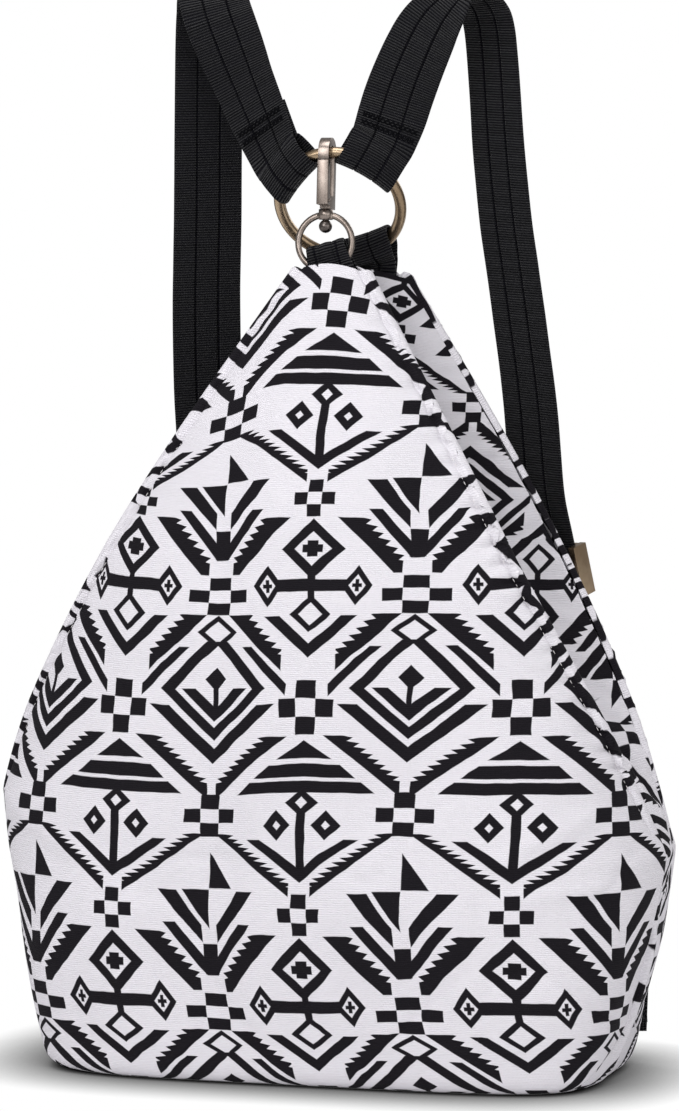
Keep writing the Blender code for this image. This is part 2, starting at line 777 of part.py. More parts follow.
def strap_x(z):
    """Distance of a strap's rear run from the middle at a height."""
    return STRAP_TOP_X + (STRAP_FOOT_X - STRAP_TOP_X) * (STRAIGHT_TOP - z) / (STRAIGHT_TOP - SQUARE_RING_HEIGHT)


def rear_run(hand, z):
    """Middle of a strap behind the body, in the straight run."""
    ends = []
    for height in (STRAIGHT_TOP, STRAIGHT_BOTTOM):
        spot = Vector((hand * strap_x(height), 0, height))
        spot.y = rear_surface(spot.x, height).y + STRAP_ROOM
        ends.append(spot)
    return ends[0] + (ends[1] - ends[0]) * ((STRAIGHT_TOP - z) / (STRAIGHT_TOP - STRAIGHT_BOTTOM))


def rear_across(hand):
    """Direction across a strap's rear run."""
    return Vector((math.cos(STRAP_TWIST), -hand * math.sin(STRAP_TWIST), 0))


def rear_frame(hand, z):
    """Place on a strap's straight run, with the directions across, outwards and down along it."""
    down = (rear_run(hand, STRAIGHT_BOTTOM) - rear_run(hand, STRAIGHT_TOP)).normalized()
    across = rear_across(hand)
    across = (across - down * across.dot(down)).normalized()
    return rear_run(hand, z), across, across.cross(down), down


def square_bar(hand):
    """Middle of a square ring's upper bar, with the directions across, outwards and down."""
    high = rear_surface(hand * strap_x(0.060), 0.060)
    low = rear_surface(hand * strap_x(0.030), 0.030)
    down = (low - high).normalized()
    across = rear_across(hand)
    across = (across - down * across.dot(down)).normalized()
    out = across.cross(down)
    middle = rear_surface(hand * strap_x(SQUARE_RING_HEIGHT + 0.006), SQUARE_RING_HEIGHT + 0.006)
    return middle + out * SQUARE_ROOM, across, out, down


def strap_path(hand):
    """Middle line of a shoulder strap from the large ring to the square ring, with directions across it."""
    name = "right" if hand > 0 else "left"
    start, chord, away, _ = ring_loop(STRAP_ANGLES[name], STRAP_TILT, STRAP_LOOP_WIDTH)
    centre = ring_centre()
    arch_across = Vector((0.883, -hand * 0.469, 0.1)).normalized()
    points = [(start, chord), (start + away * 0.016, chord)]
    offsets = ARCH_POINTS[name]
    for index, offset in enumerate(offsets):
        points.append((centre + Vector(offset), blend_across(chord, arch_across, (index + 1) / 4 if index < 4 else 1)))
    for index, point in enumerate(FALL_POINTS):
        spot = Vector((hand * point[0], point[1], point[2]))
        if hand < 0:
            spot.x -= LEFT_FALL * (point[2] - STRAIGHT_TOP) / 0.17
        points.append((spot, blend_across(arch_across, rear_across(hand), (index + 1) / len(FALL_POINTS))))
    for part in range(4):
        z = STRAIGHT_TOP + (STRAIGHT_BOTTOM - STRAIGHT_TOP) * part / 3
        points.append((rear_run(hand, z), rear_across(hand)))
    turn = wrap_radius(SQUARE_WIRE)
    bar, across, out, down = square_bar(hand)
    for z in (0.122, 0.096, 0.076):
        spot = rear_surface(hand * strap_x(z), z, SQUARE_ROOM + turn)
        points.append((spot, rear_across(hand)))
    points.append((bar + out * turn - down * 0.008, across))
    points.append((bar + out * turn, across))
    return points


def dense(points, steps):
    """The path and its directions across, made smooth."""
    path = through([point for point, _ in points], steps)
    acrosses = []
    for (_, first), (_, second) in zip(points, points[1:]):
        acrosses += [blend_across(first, second, step / steps) for step in range(steps)]
    return path, acrosses + [points[-1][1]]


def lower_turn(hand):
    """Stations of a strap's turn round the square ring and a short way back up."""
    bar, across, out, down = square_bar(hand)
    radius = wrap_radius(SQUARE_WIRE)
    stations = []
    for step in range(1, TURN_STEPS + 1):
        angle = math.pi * step / TURN_STEPS
        spot = bar + out * (radius * math.cos(angle)) + down * (radius * math.sin(angle))
        stations.append((spot, across, WEBBING_WIDTH, Vector()))
    for rise in (0.005, 0.010):
        stations.append((bar - out * radius - down * rise, across, WEBBING_WIDTH, Vector()))
    return stations


def make_strap(name, hand):
    """A shoulder strap: sewn loop on the large ring, arch, rear run, and the turn round the square ring."""
    path, acrosses = dense(strap_path(hand), 2)
    start, chord, away, bulge = ring_loop(STRAP_ANGLES[name], STRAP_TILT, STRAP_LOOP_WIDTH)
    head = [start + away * distance for distance in (0, 0.0027, 0.0055, 0.0085, 0.012)]
    path = head + path[2:]
    acrosses = [chord] * len(head) + acrosses[2:]
    widths = []
    for spot in path:
        widening = ease(share((spot - start).length, 0.004, 0.030))
        widths.append(STRAP_LOOP_WIDTH + (WEBBING_WIDTH - STRAP_LOOP_WIDTH) * widening)
    stations = looped(path, acrosses, widths, bulge, ring_wrap(STRAP_LOOP_WIDTH), (0.0055, 0.020), 7)
    layer = (WEBBING + GAP) / 2
    _, _, out, _ = rear_frame(hand, STRAIGHT_TOP)
    settled = []
    for spot, across, width, swell in stations:
        if spot.y > 0.030:
            spot = spot - out * (layer * (1 - share(spot.z, STRAIGHT_TOP, STRAIGHT_TOP + 0.05)))
            if STRAIGHT_BOTTOM < spot.z < STRAIGHT_TOP:
                spot = rear_run(hand, spot.z)
        settled.append((spot, across, width, swell))
    webbing(f"{name}_strap", settled + lower_turn(hand))


def make_tail(name, hand):
    """The strap's run back up from the square ring, wrapped round the slider's middle bar."""
    radius = wrap_radius(SLIDER_MIDDLE)
    place, across, out, down = rear_frame(hand, SLIDER_HEIGHT_UP)
    bar = place - out * SLIDER_SINK
    stations = []
    for step in range(TURN_STEPS + 1):
        angle = math.pi * step / TURN_STEPS
        spot = bar + out * (radius * math.cos(angle)) - down * (radius * math.sin(angle))
        stations.append((spot, across, WEBBING_WIDTH, Vector()))
    stations.insert(0, (bar + out * radius + down * 0.007, across, WEBBING_WIDTH, Vector()))
    low_bar, low_across, low_out, low_down = square_bar(hand)
    low = wrap_radius(SQUARE_WIRE)
    end = low_bar - low_out * low - low_down * (0.010 + 3 * GAP)
    points = [(place - out * (SLIDER_SINK + radius) + down * d, across) for d in (0.010, 0.034, 0.058, 0.080)]
    for z in (0.122, 0.096, 0.080):
        points.append((rear_surface(hand * strap_x(z), z, SQUARE_ROOM - low), rear_across(hand)))
    points += [(end - low_down * 0.004, low_across), (end, low_across)]
    path, acrosses = dense(points, 2)
    for index, (spot, side) in enumerate(zip(path, acrosses)):
        ahead = path[min(index + 1, len(path) - 1)] - path[max(index - 1, 0)]
        side = (side - ahead * (side.dot(ahead) / ahead.length_squared)).normalized()
        stations.append((spot, side, WEBBING_WIDTH, Vector()))
    webbing(f"{name}_strap_tail", stations, 2)


def make_slider(name, hand):
    """A three-bar slider. The strap runs under its outer bars, and the tail wraps its middle bar."""
    place, across, out, down = rear_frame(hand, SLIDER_HEIGHT_UP)
    frame = frame_matrix(place, across, out, down)
    inner = WEBBING_WIDTH / 2 + 2 * GAP
    low = -SLIDER_SINK - SLIDER_MIDDLE
    high = WEBBING / 2 + GAP + SLIDER_BAR * 0.75
    long = SLIDER_LENGTH / 2
    slider = block(f"{name}_strap_slider", (inner, low, -long), (inner + SLIDER_RAIL, high, long), frame, "antique_brass")
    other = block("rail", (-inner - SLIDER_RAIL, low, -long), (-inner, high, long), frame, "antique_brass")
    combine(slider, other, "UNION")
    for end in (-1, 1):
        near, far = sorted((end * (long - SLIDER_BAR), end * (long - 0.0002)))
        corner = (inner + 0.001, high - 0.0003, far)
        bar = block("outer bar", (-inner - 0.001, WEBBING / 2 + GAP, near), corner, frame, "antique_brass")
        combine(slider, bar, "UNION")
    middle = place - out * SLIDER_SINK
    reach = across * (inner + 0.001)
    combine(slider, cylinder("middle bar", middle - reach, middle + reach, SLIDER_MIDDLE, "antique_brass"), "UNION")
    bevel_edges(slider, 0.0004)
    set_origin(slider, place)


def make_square_ring(name, hand):
    bar, across, out, down = square_bar(hand)
    half = Vector((WEBBING_WIDTH / 2 + 0.0006 + SQUARE_WIRE, SQUARE_OPENING / 2 + SQUARE_WIRE))
    centre = bar + down * half.y
    bend = 0.003
    points = []
    for i, j in ((1, 1), (-1, 1), (-1, -1), (1, -1)):
        start = {(1, 1): 0, (-1, 1): 90, (-1, -1): 180, (1, -1): 270}[(i, j)]
        for step in range(4):
            angle = math.radians(start + 30 * step)
            flat = (i * (half.x - bend) + bend * math.cos(angle), j * (half.y - bend) + bend * math.sin(angle))
            points.append(centre + across * flat[0] + down * flat[1])
    wire_loop(f"{name}_square_ring", points, SQUARE_WIRE, "antique_brass")


def make_stub(name, hand):
    """The sewn loop that holds a square ring to the rear panel."""
    bar, across, out, down = square_bar(hand)
    bar += down * (SQUARE_OPENING + 2 * SQUARE_WIRE)
    radius = wrap_radius(SQUARE_WIRE)
    width = WEBBING_WIDTH - 0.002
    x = hand * strap_x(0.020)
    layer = GAP + STUB_ROOM
    below = [(rear_surface(x, z, layer), across) for z in (STUB_FOOT, 0.019, 0.023)]
    above = [(rear_surface(x, z, layer + WEBBING + GAP), across) for z in (0.022, 0.018, STUB_FOOT)]
    path = [spot for spot, _ in below]
    for step in range(TURN_STEPS + 1):
        angle = math.pi * step / TURN_STEPS
        path.append(bar - out * (radius * math.cos(angle)) - down * (radius * math.sin(angle)))
    path += [spot for spot, _ in above]
    webbing(f"{name}_lower_tab", [(spot, across, width, Vector()) for spot in path], 2)


def make_rear_tab():
    """The rear tab: sewn into the rear horn, and looped round the large ring."""
    start, chord, _, bulge = ring_loop(TAB_ANGLE, 0, TAB_LOOP_WIDTH)
    horn = horn_middle("rear")
    side = Vector((1, 0, 0))
    down = horn - start
    down = (down - chord * down.dot(chord)).normalized()
    points = [(start, chord), (start + down * 0.007, chord), (horn + side * 0.0012, blend_across(chord, side, 0.5))]
    points.append((horn - UP * 0.010, side))
    path, acrosses = dense(points, 3)
    widths = [TAB_LOOP_WIDTH - 0.005 * share(start.z - 0.003 - spot.z, 0, 0.008) for spot in path]
    wrap = ring_wrap(TAB_LOOP_WIDTH) + 0.0004
    webbing("rear_tab", looped(path, acrosses, widths, bulge, wrap, (0.0050, 0.0115), len(path)))


# Swivel snap hook


def hook_frame():
    """Middle of the hook's eye, with directions across, backwards and towards the large ring."""
    held = ring_centre() + ring_out(HOOK_ANGLE) * RING_RADIUS
    up = (held - (horn_middle("front") + EYE_TO_HORN)).normalized()
    across = ring_out(HOOK_ANGLE + math.pi / 2)
    across = (across - up * across.dot(up)).normalized()
    return held - up * HOOK_REACH, across, up.cross(across), up


def hook_matrix():
    return frame_matrix(*hook_frame())


def local_cylinder(name, start, end, radius, segments=16):
    place = hook_matrix()
    return cylinder(name, place @ Vector(start), place @ Vector(end), radius, "gunmetal", segments)


def make_snap_eye():
    """The eye that the front tab holds, with the bored boss that the hook turns in."""
    centre, across, back, up = hook_frame()
    eye = torus("snap_eye", centre, (across, up), EYE_RADIUS, EYE_WIRE, "gunmetal")
    low = EYE_RADIUS - 0.0023
    boss = local_cylinder("boss", (0, 0, low), (0, 0, low + BOSS_LENGTH), BOSS_RADIUS, 20)
    combine(eye, boss, "UNION")
    bore = local_cylinder("bore", (0, 0, low - 0.003), (0, 0, low + BOSS_LENGTH + 0.002), STUD_RADIUS + RUNNING_FIT, 16)
    combine(eye, bore, "DIFFERENCE")


def boss_top():
    return EYE_RADIUS - 0.0023 + BOSS_LENGTH


def make_swivel_stud():
    """The stud: its head inside the eye, its shank through the boss into the foot of the hook."""
    low = EYE_RADIUS - 0.0023 - 0.0031
    top = boss_top() + GAP + 0.003
    stud = local_cylinder("swivel_stud", (0, 0, low), (0, 0, top), STUD_RADIUS, 16)
    bm = bmesh.new()
    bmesh.ops.create_uvsphere(bm, u_segments=16, v_segments=10, radius=STUD_HEAD_RADIUS)
    bmesh.ops.transform(bm, matrix=hook_matrix() @ Matrix.Translation((0, 0, low)), verts=bm.verts)
    combine(stud, add_object("stud head", bm, "gunmetal"), "UNION")


def pin_place():
    """Height and depth of the gate's pin in the hook's frame."""
    return -0.0043, boss_top() + GAP + 0.0034


def make_snap_hook():
    """The hook's body: a foot with the tongue for the gate's pin, the back, the bend and the nose."""
    foot = boss_top() + GAP
    inner, outer = HOOK_BEND, HOOK_BEND + HOOK_THICKNESS
    outline = [(-0.0018, foot), (outer, foot)]
    arc = [math.pi * step / 12 for step in range(13)]
    outline += [(outer * math.cos(a), HOOK_REACH + outer * math.sin(a)) for a in arc]
    outline += [(-outer, HOOK_REACH - NOSE_LENGTH), (-inner, HOOK_REACH - NOSE_LENGTH)]
    outline += [(inner * math.cos(a), HOOK_REACH + inner * math.sin(a)) for a in arc[::-1]]
    outline += [(inner, foot + HOOK_BLOCK), (-0.0018, foot + HOOK_BLOCK)]
    hook = extruded("snap_hook", outline, HOOK_WIDTH, hook_matrix(), "gunmetal")
    y, z = pin_place()
    half = TONGUE_WIDTH / 2
    tongue = local_cylinder("tongue", (-half, y, z), (half, y, z), TONGUE_RADIUS)
    low, high = (-half, y, z - TONGUE_RADIUS), (half, -0.001, z + TONGUE_RADIUS)
    combine(hook, tongue, "UNION")
    combine(hook, block("tongue root", low, high, hook_matrix(), "gunmetal"), "UNION")
    combine(hook, local_cylinder("pin hole", (-0.004, y, z), (0.004, y, z), PIN_RADIUS + RUNNING_FIT), "DIFFERENCE")
    socket = local_cylinder("stud hole", (0, 0, foot - 0.001), (0, 0, foot + 0.0034), STUD_RADIUS + 0.0001)
    combine(hook, socket, "DIFFERENCE")
    bevel_edges(hook, 0.0005)
    set_origin(hook, hook_frame()[0])


def make_snap_gate():
    """The gate: a folded channel that turns on the pin and closes against the nose."""
    y, z = pin_place()
    front = -HOOK_BEND - HOOK_THICKNESS - 0.0006
    top = HOOK_REACH - NOSE_LENGTH - 0.0004
    outline = [(front, z - 0.0020), (y + 0.0017, z - 0.0020), (y + 0.0017, z + 0.0021), (-0.0038, z + 0.0034)]
    outline += [(-0.0038, top), (front, top)]
    gate = extruded("snap_gate", outline, GATE_WIDTH, hook_matrix(), "gunmetal")
    low = (-GATE_WIDTH / 2 + GATE_WALL + 0.0001, front + GATE_WALL, z - 0.004)
    high = (GATE_WIDTH / 2 - GATE_WALL - 0.0001, 0.002, top - 0.0022)
    combine(gate, block("channel", low, high, hook_matrix(), "gunmetal"), "DIFFERENCE")
    combine(gate, local_cylinder("gate hole", (-0.004, y, z), (0.004, y, z), PIN_RADIUS + RUNNING_FIT), "DIFFERENCE")
    bevel_edges(gate, 0.0003)
    place = hook_matrix() @ Vector((0, y, z))
    set_origin(gate, place)
    pin = local_cylinder("gate_pin", (-0.0033, y, z), (0.0033, y, z), PIN_RADIUS, 16)
    bevel_edges(pin, 0.0002)
    spring_low = (-0.0011, front + GATE_WALL + GAP, z + 0.0024)
    spring_high = (0.0011, front + GATE_WALL + GAP + 0.0004, top - 0.0030)
    spring = block("gate_spring", spring_low, spring_high, hook_matrix(), "spring_steel")
    set_origin(spring, place)


def make_front_tab():
    """The front tab: sewn into the front horn, and folded through the hook's eye."""
    centre, across, back, up = hook_frame()
    down = (across * 0.28 - up).normalized()
    side = (across - down * across.dot(down)).normalized()
    points = [(centre + down * d, side) for d in (0.0035, 0.007, 0.0105, 0.0145)]
    low = horn_middle("front") - UP * 0.016 + Vector((0.002, -0.0005, 0))
    points += [((points[-1][0] * 0.45 + low * 0.55), side), (low, side)]
    path, acrosses = dense(points, 2)
    first = points[0][0]
    widths = [TAB_FOLD_WIDTH + (TAB_WIDTH - TAB_FOLD_WIDTH) * share((spot - first).length, 0, 0.014) for spot in path]
    radius = 0.0026
    webbing("front_tab", looped(path, acrosses, widths, Vector(), radius, (0.0125, 0.019), len(path)))


# Mouth zip


def zip_point(z, side):
    """Middle of the zip at a height in one leg."""
    return Vector((lean(z, side), zip_line(z, side) * (-1 if side == "front" else 1), z))


def zip_path(drop):
    """Middle line of the zip from the front leg's top, round the turn, to the rear leg's top."""
    path = []
    heights = [ZIP_TURN * (1 - math.cos(math.radians(turn))) for turn in (0, 18, 36, 54, 72, 90)]
    for side in ("front", "rear"):
        top = horn_top(side) - drop
        leg = [zip_point(top + (VALLEY_HEIGHT + ZIP_TURN - top) * step / 3, side) for step in range(3)]
        leg += [zip_point(VALLEY_HEIGHT + rise, side) for rise in heights[::-1]]
        path += leg if side == "front" else leg[-2::-1]
    return path


def make_zip():
    for name, hand in SIDES.items():
        path = zip_path(ZIP_END_DROP - 0.003)
        low, high = COIL_GAP + COIL_WIDTH + 0.0002, ZIP_OPENING - 0.0004
        moved = [spot + Vector((hand * (low + high) / 2, 0, 0)) for spot in path]
        ribbon(f"zip_tape_{name}", moved, [Vector((1, 0, 0))] * len(path), [high - low] * len(path), TAPE_THICKNESS, "zip")
        path = zip_path(ZIP_END_DROP)
        moved = [spot + Vector((hand * (COIL_GAP + COIL_WIDTH / 2), 0, 0)) for spot in path]
        ribbon(f"zip_coil_{name}", moved, [Vector((1, 0, 0))] * len(path), [COIL_WIDTH] * len(path), COIL_THICKNESS, "zip")
    for name, side in (("zip_top_stop", "front"), ("zip_bottom_stop", "rear")):
        spot, frame = zip_frame(horn_top(side) - ZIP_END_DROP + GAP, side)
        block(name, (-COIL_GAP - COIL_WIDTH, -0.0016, 0), (COIL_GAP + COIL_WIDTH, 0.0016, 0.0022), frame, "antique_brass")


def zip_frame(z, side):
    """Place in a leg of the zip, and its matrix: X across, Y into the gap between the horns, Z up the leg."""
    low, high = VALLEY_HEIGHT + ZIP_TURN, horn_top(side)
    up = (zip_point(high, side) - zip_point(low, side)).normalized()
    across = Vector((1, 0, 0)) * (1 if side == "front" else -1)
    across = (across - up * across.dot(up)).normalized()
    return zip_point(z, side), frame_matrix(zip_point(z, side), across, up.cross(across), up)


def make_zip_slider():
    """The zip's slider: two plates joined by a web that runs between the coils, with a bridge for the pull."""
    spot, frame = zip_frame(horn_top("front") - ZIP_END_DROP - ZIP_BODY_LENGTH, "front")
    half = ZIP_BODY_LENGTH / 2
    wide = ZIP_BODY_WIDTH / 2
    inner = COIL_THICKNESS / 2 + 0.0003
    outer = ZIP_BODY_THICKNESS / 2
    slider = block("zip_slider", (-wide, inner, -half), (wide, outer, half), frame, "antique_brass")
    combine(slider, block("back plate", (-wide, -outer, -half), (wide, -inner, half), frame, "zip"), "UNION")
    web = COIL_GAP - 0.0003
    low, high = (-web, -inner - 0.0003, 0.0005), (web, inner + 0.0003, half - 0.0005)
    combine(slider, block("web", low, high, frame, "zip"), "UNION")
    bridge = [(outer - 0.0003, -0.0030), (outer + 0.0023, -0.0030), (outer + 0.0023, 0.0030), (outer - 0.0003, 0.0030)]
    bridge += [(outer - 0.0003, 0.0020), (outer + 0.0015, 0.0020), (outer + 0.0015, -0.0020), (outer - 0.0003, -0.0020)]
    combine(slider, extruded("bridge", bridge, 0.0016, frame, "zip"), "UNION")
    set_origin(slider, spot)
    pull_y = outer + 0.00025 + PULL_THICKNESS / 2
    hinge = frame @ Vector((0, pull_y, 0.0014))
    low, high = (-PULL_WIDTH / 2, pull_y - PULL_THICKNESS / 2, 0.0019 - PULL_LENGTH), (PULL_WIDTH / 2, pull_y + PULL_THICKNESS / 2, 0.0019)
    pull = block("zip_pull", low, high, frame, "antique_brass")
    window = block("window", (-0.0012, pull_y - 0.002, -0.0036), (0.0012, pull_y + 0.002, 0.0009), frame, "zip")
    combine(pull, window, "DIFFERENCE")
    bevel_edges(pull, 0.0002)
    set_origin(pull, hinge)


def main():
    clear_scene()
    make_materials()
    make_wide_panel("front")
    make_wide_panel("rear")
    make_base_panel()
    for name, hand in SIDES.items():
        make_side_panel(f"{name}_side_panel", hand)
        make_strap(name, hand)
        make_tail(name, hand)
        make_slider(name, hand)
        make_square_ring(name, hand)
        make_stub(name, hand)
    make_large_ring()
    make_rear_tab()
    make_snap_eye()
    make_swivel_stud()
    make_snap_hook()
    make_snap_gate()
    make_front_tab()
    make_zip()
    make_zip_slider()


main()
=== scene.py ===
"""Product scene of the convertible canvas backpack: cloth, webbing, metal, the studio and the camera."""

from __future__ import annotations

import functools
import itertools
import json
import logging
import math
import operator
from collections.abc import Callable, Sequence
from dataclasses import dataclass
from enum import Enum

import bpy
from mathutils import Matrix, Vector, noise

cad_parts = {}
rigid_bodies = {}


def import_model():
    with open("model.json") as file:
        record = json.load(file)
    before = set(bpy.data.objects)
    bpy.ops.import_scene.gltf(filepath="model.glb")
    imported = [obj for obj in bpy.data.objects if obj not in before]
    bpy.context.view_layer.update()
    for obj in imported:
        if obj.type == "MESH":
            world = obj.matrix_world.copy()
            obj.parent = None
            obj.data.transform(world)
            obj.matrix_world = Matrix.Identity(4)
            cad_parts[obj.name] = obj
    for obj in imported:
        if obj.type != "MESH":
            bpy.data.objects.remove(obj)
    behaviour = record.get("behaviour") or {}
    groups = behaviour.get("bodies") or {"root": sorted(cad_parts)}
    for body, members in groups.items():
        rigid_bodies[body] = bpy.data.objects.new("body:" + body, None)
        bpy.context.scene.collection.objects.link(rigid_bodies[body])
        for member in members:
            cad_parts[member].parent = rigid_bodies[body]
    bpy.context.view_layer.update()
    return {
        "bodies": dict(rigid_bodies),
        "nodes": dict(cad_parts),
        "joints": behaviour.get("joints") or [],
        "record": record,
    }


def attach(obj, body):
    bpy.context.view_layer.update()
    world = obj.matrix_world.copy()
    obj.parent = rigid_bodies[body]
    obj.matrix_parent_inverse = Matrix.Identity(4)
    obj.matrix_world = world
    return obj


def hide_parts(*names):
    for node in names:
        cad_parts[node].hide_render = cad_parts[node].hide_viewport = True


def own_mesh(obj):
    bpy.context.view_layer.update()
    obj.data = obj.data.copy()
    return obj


LOG = logging.getLogger("backpack")
Surface = Callable[[float], Vector]
Colour = tuple[float, float, float]
Pair = tuple[float, float]


def ease(value: float) -> float:
    """Smooth step of a value held between 0 and 1."""
    value = min(1.0, max(0.0, value))
    return value * value * (3 - 2 * value)


def share(value: float, low: float, high: float) -> float:
    """How far a value is from one limit to another, 0 to 1."""
    return min(1.0, max(0.0, (value - low) / (high - low)))


def between(table: Sequence[Pair], value: float) -> float:
    """Value of a table of pairs at a place, straight between its entries."""
    for (low, first), (high, second) in zip(table, table[1:]):
        if value <= high:
            break
    return first + (second - first) * (value - low) / (high - low)


def deselect() -> None:
    """Leave edit mode and select nothing."""
    if bpy.context.object and bpy.context.object.mode != "OBJECT":
        bpy.ops.object.mode_set(mode="OBJECT")
    bpy.ops.object.select_all(action="DESELECT")


def activate(item: bpy.types.Object) -> None:
    """Select one object alone and make it the active one."""
    deselect()
    item.select_set(True)
    bpy.context.view_layer.objects.active = item


def named(name: str) -> bpy.types.Object:
    """Take the object that an operator has just added, and name it.

    Args:
        name: Name for the object and its mesh.

    Returns:
        The object.
    """
    item = bpy.context.active_object
    item.name = name
    item.data.name = name
    return item


def settle(item: bpy.types.Object) -> None:
    """Put an object's place, turn and size into its mesh."""
    activate(item)
    bpy.ops.object.transform_apply(location=True, rotation=True, scale=True)


def apply_modifiers(item: bpy.types.Object) -> None:
    """Apply every modifier of an object."""
    activate(item)
    for modifier in list(item.modifiers):
        bpy.ops.object.modifier_apply(modifier=modifier.name)


def smooth(item: bpy.types.Object, degrees: float) -> None:
    """Shade an object smooth, apart from edges sharper than an angle."""
    activate(item)
    bpy.ops.object.shade_smooth_by_angle(angle=math.radians(degrees))


def outward(item: bpy.types.Object) -> None:
    """Merge an object's doubles and point its faces outwards."""
    activate(item)
    bpy.ops.object.mode_set(mode="EDIT")
    bpy.ops.mesh.select_all(action="SELECT")
    bpy.ops.mesh.remove_doubles(threshold=0.00001)
    bpy.ops.mesh.normals_make_consistent(inside=False)
    bpy.ops.object.mode_set(mode="OBJECT")


def grid(name: str, columns: int, rows: int) -> tuple[bpy.types.Object, list[tuple[int, int]]]:
    """Add a grid primitive to be shaped.

    Args:
        name: Name of the new object.
        columns: Number of faces across.
        rows: Number of faces along.

    Returns:
        The object, and the column and row of each of its vertices.
    """
    deselect()
    bpy.ops.mesh.primitive_grid_add(x_subdivisions=columns, y_subdivisions=rows, size=1.0)
    item = named(name)
    spots = [(round((v.co.x + 0.5) * columns), round((v.co.y + 0.5) * rows)) for v in item.data.vertices]
    return item, spots


def lay_out(item: bpy.types.Object, spots: Sequence[Pair]) -> None:
    """Give each vertex its place on the cloth, in metres, as the object's UV map.

    Args:
        item: The object.
        spots: The place of each vertex.
    """
    layer = item.data.uv_layers.active.data
    for loop in item.data.loops:
        layer[loop.index].uv = spots[loop.vertex_index]


class Signal:
    """A value in a node tree, on which arithmetic places math nodes."""

    def __init__(self, tree: bpy.types.NodeTree, socket: bpy.types.NodeSocket) -> None:
        """Keep the tree and the socket that carries the value."""
        self.tree = tree
        self.socket = socket

    def __truediv__(self, other: Signal | float) -> Signal:
        """Quotient."""
        return self.apply("DIVIDE", self, other)

    def clamped(self) -> Signal:
        """The value held between 0 and 1."""
        return self.apply("ADD", self, 0.0, clamp=True)

    def fraction(self) -> Signal:
        """The part after the decimal point."""
        return self.apply("FRACT", self)

    def apply(self, operation: str, *items: Signal | float, clamp: bool = False) -> Signal:
        """Place a math node.

        Args:
            operation: The node's operation.
            items: Its inputs, in order.
            clamp: Whether the result is held between 0 and 1.

        Returns:
            The node's result.
        """
        node = self.tree.nodes.new("ShaderNodeMath")
        node.operation = operation
        node.use_clamp = clamp
        for place, item in zip(node.inputs, items):
            if isinstance(item, Signal):
                self.tree.links.new(item.socket, place)
            else:
                place.default_value = float(item)
        return Signal(self.tree, node.outputs[0])

    def __add__(self, other: Signal | float) -> Signal:
        """Sum."""
        return self.apply("ADD", self, other)

    __radd__ = __add__

    def __sub__(self, other: Signal | float) -> Signal:
        """Difference."""
        return self.apply("SUBTRACT", self, other)

    def __rsub__(self, other: float) -> Signal:
        """Difference from a number."""
        return self.apply("SUBTRACT", other, self)

    def __mul__(self, other: Signal | float) -> Signal:
        """Product."""
        return self.apply("MULTIPLY", self, other)

    __rmul__ = __mul__

    def __abs__(self) -> Signal:
        """Size without sign."""
        return self.apply("ABSOLUTE", self)

    def __and__(self, other: Signal | float) -> Signal:
        """Where both shapes are: the smaller depth."""
        return self.apply("MINIMUM", self, other)

    def __or__(self, other: Signal | float) -> Signal:
        """Where either shape is: the larger depth."""
        return self.apply("MAXIMUM", self, other)

    def plus(self, factor: float, other: Signal) -> Signal:
        """This value and another one times a factor."""
        return self.apply("MULTIPLY_ADD", other, factor, self)

    def wrapped(self, low: float, high: float) -> Signal:
        """The value brought into a range that repeats."""
        return self.apply("WRAP", self, high, low)

    def mask(self, soft: float) -> Signal:
        """Turn a depth into a mask whose edge has a width."""
        return self.apply("MULTIPLY_ADD", self, 1 / soft, 0.5, clamp=True)

    def wave(self, length: float) -> Signal:
        """Sine of the value over a wavelength."""
        return self.apply("SINE", self * (math.tau / length))


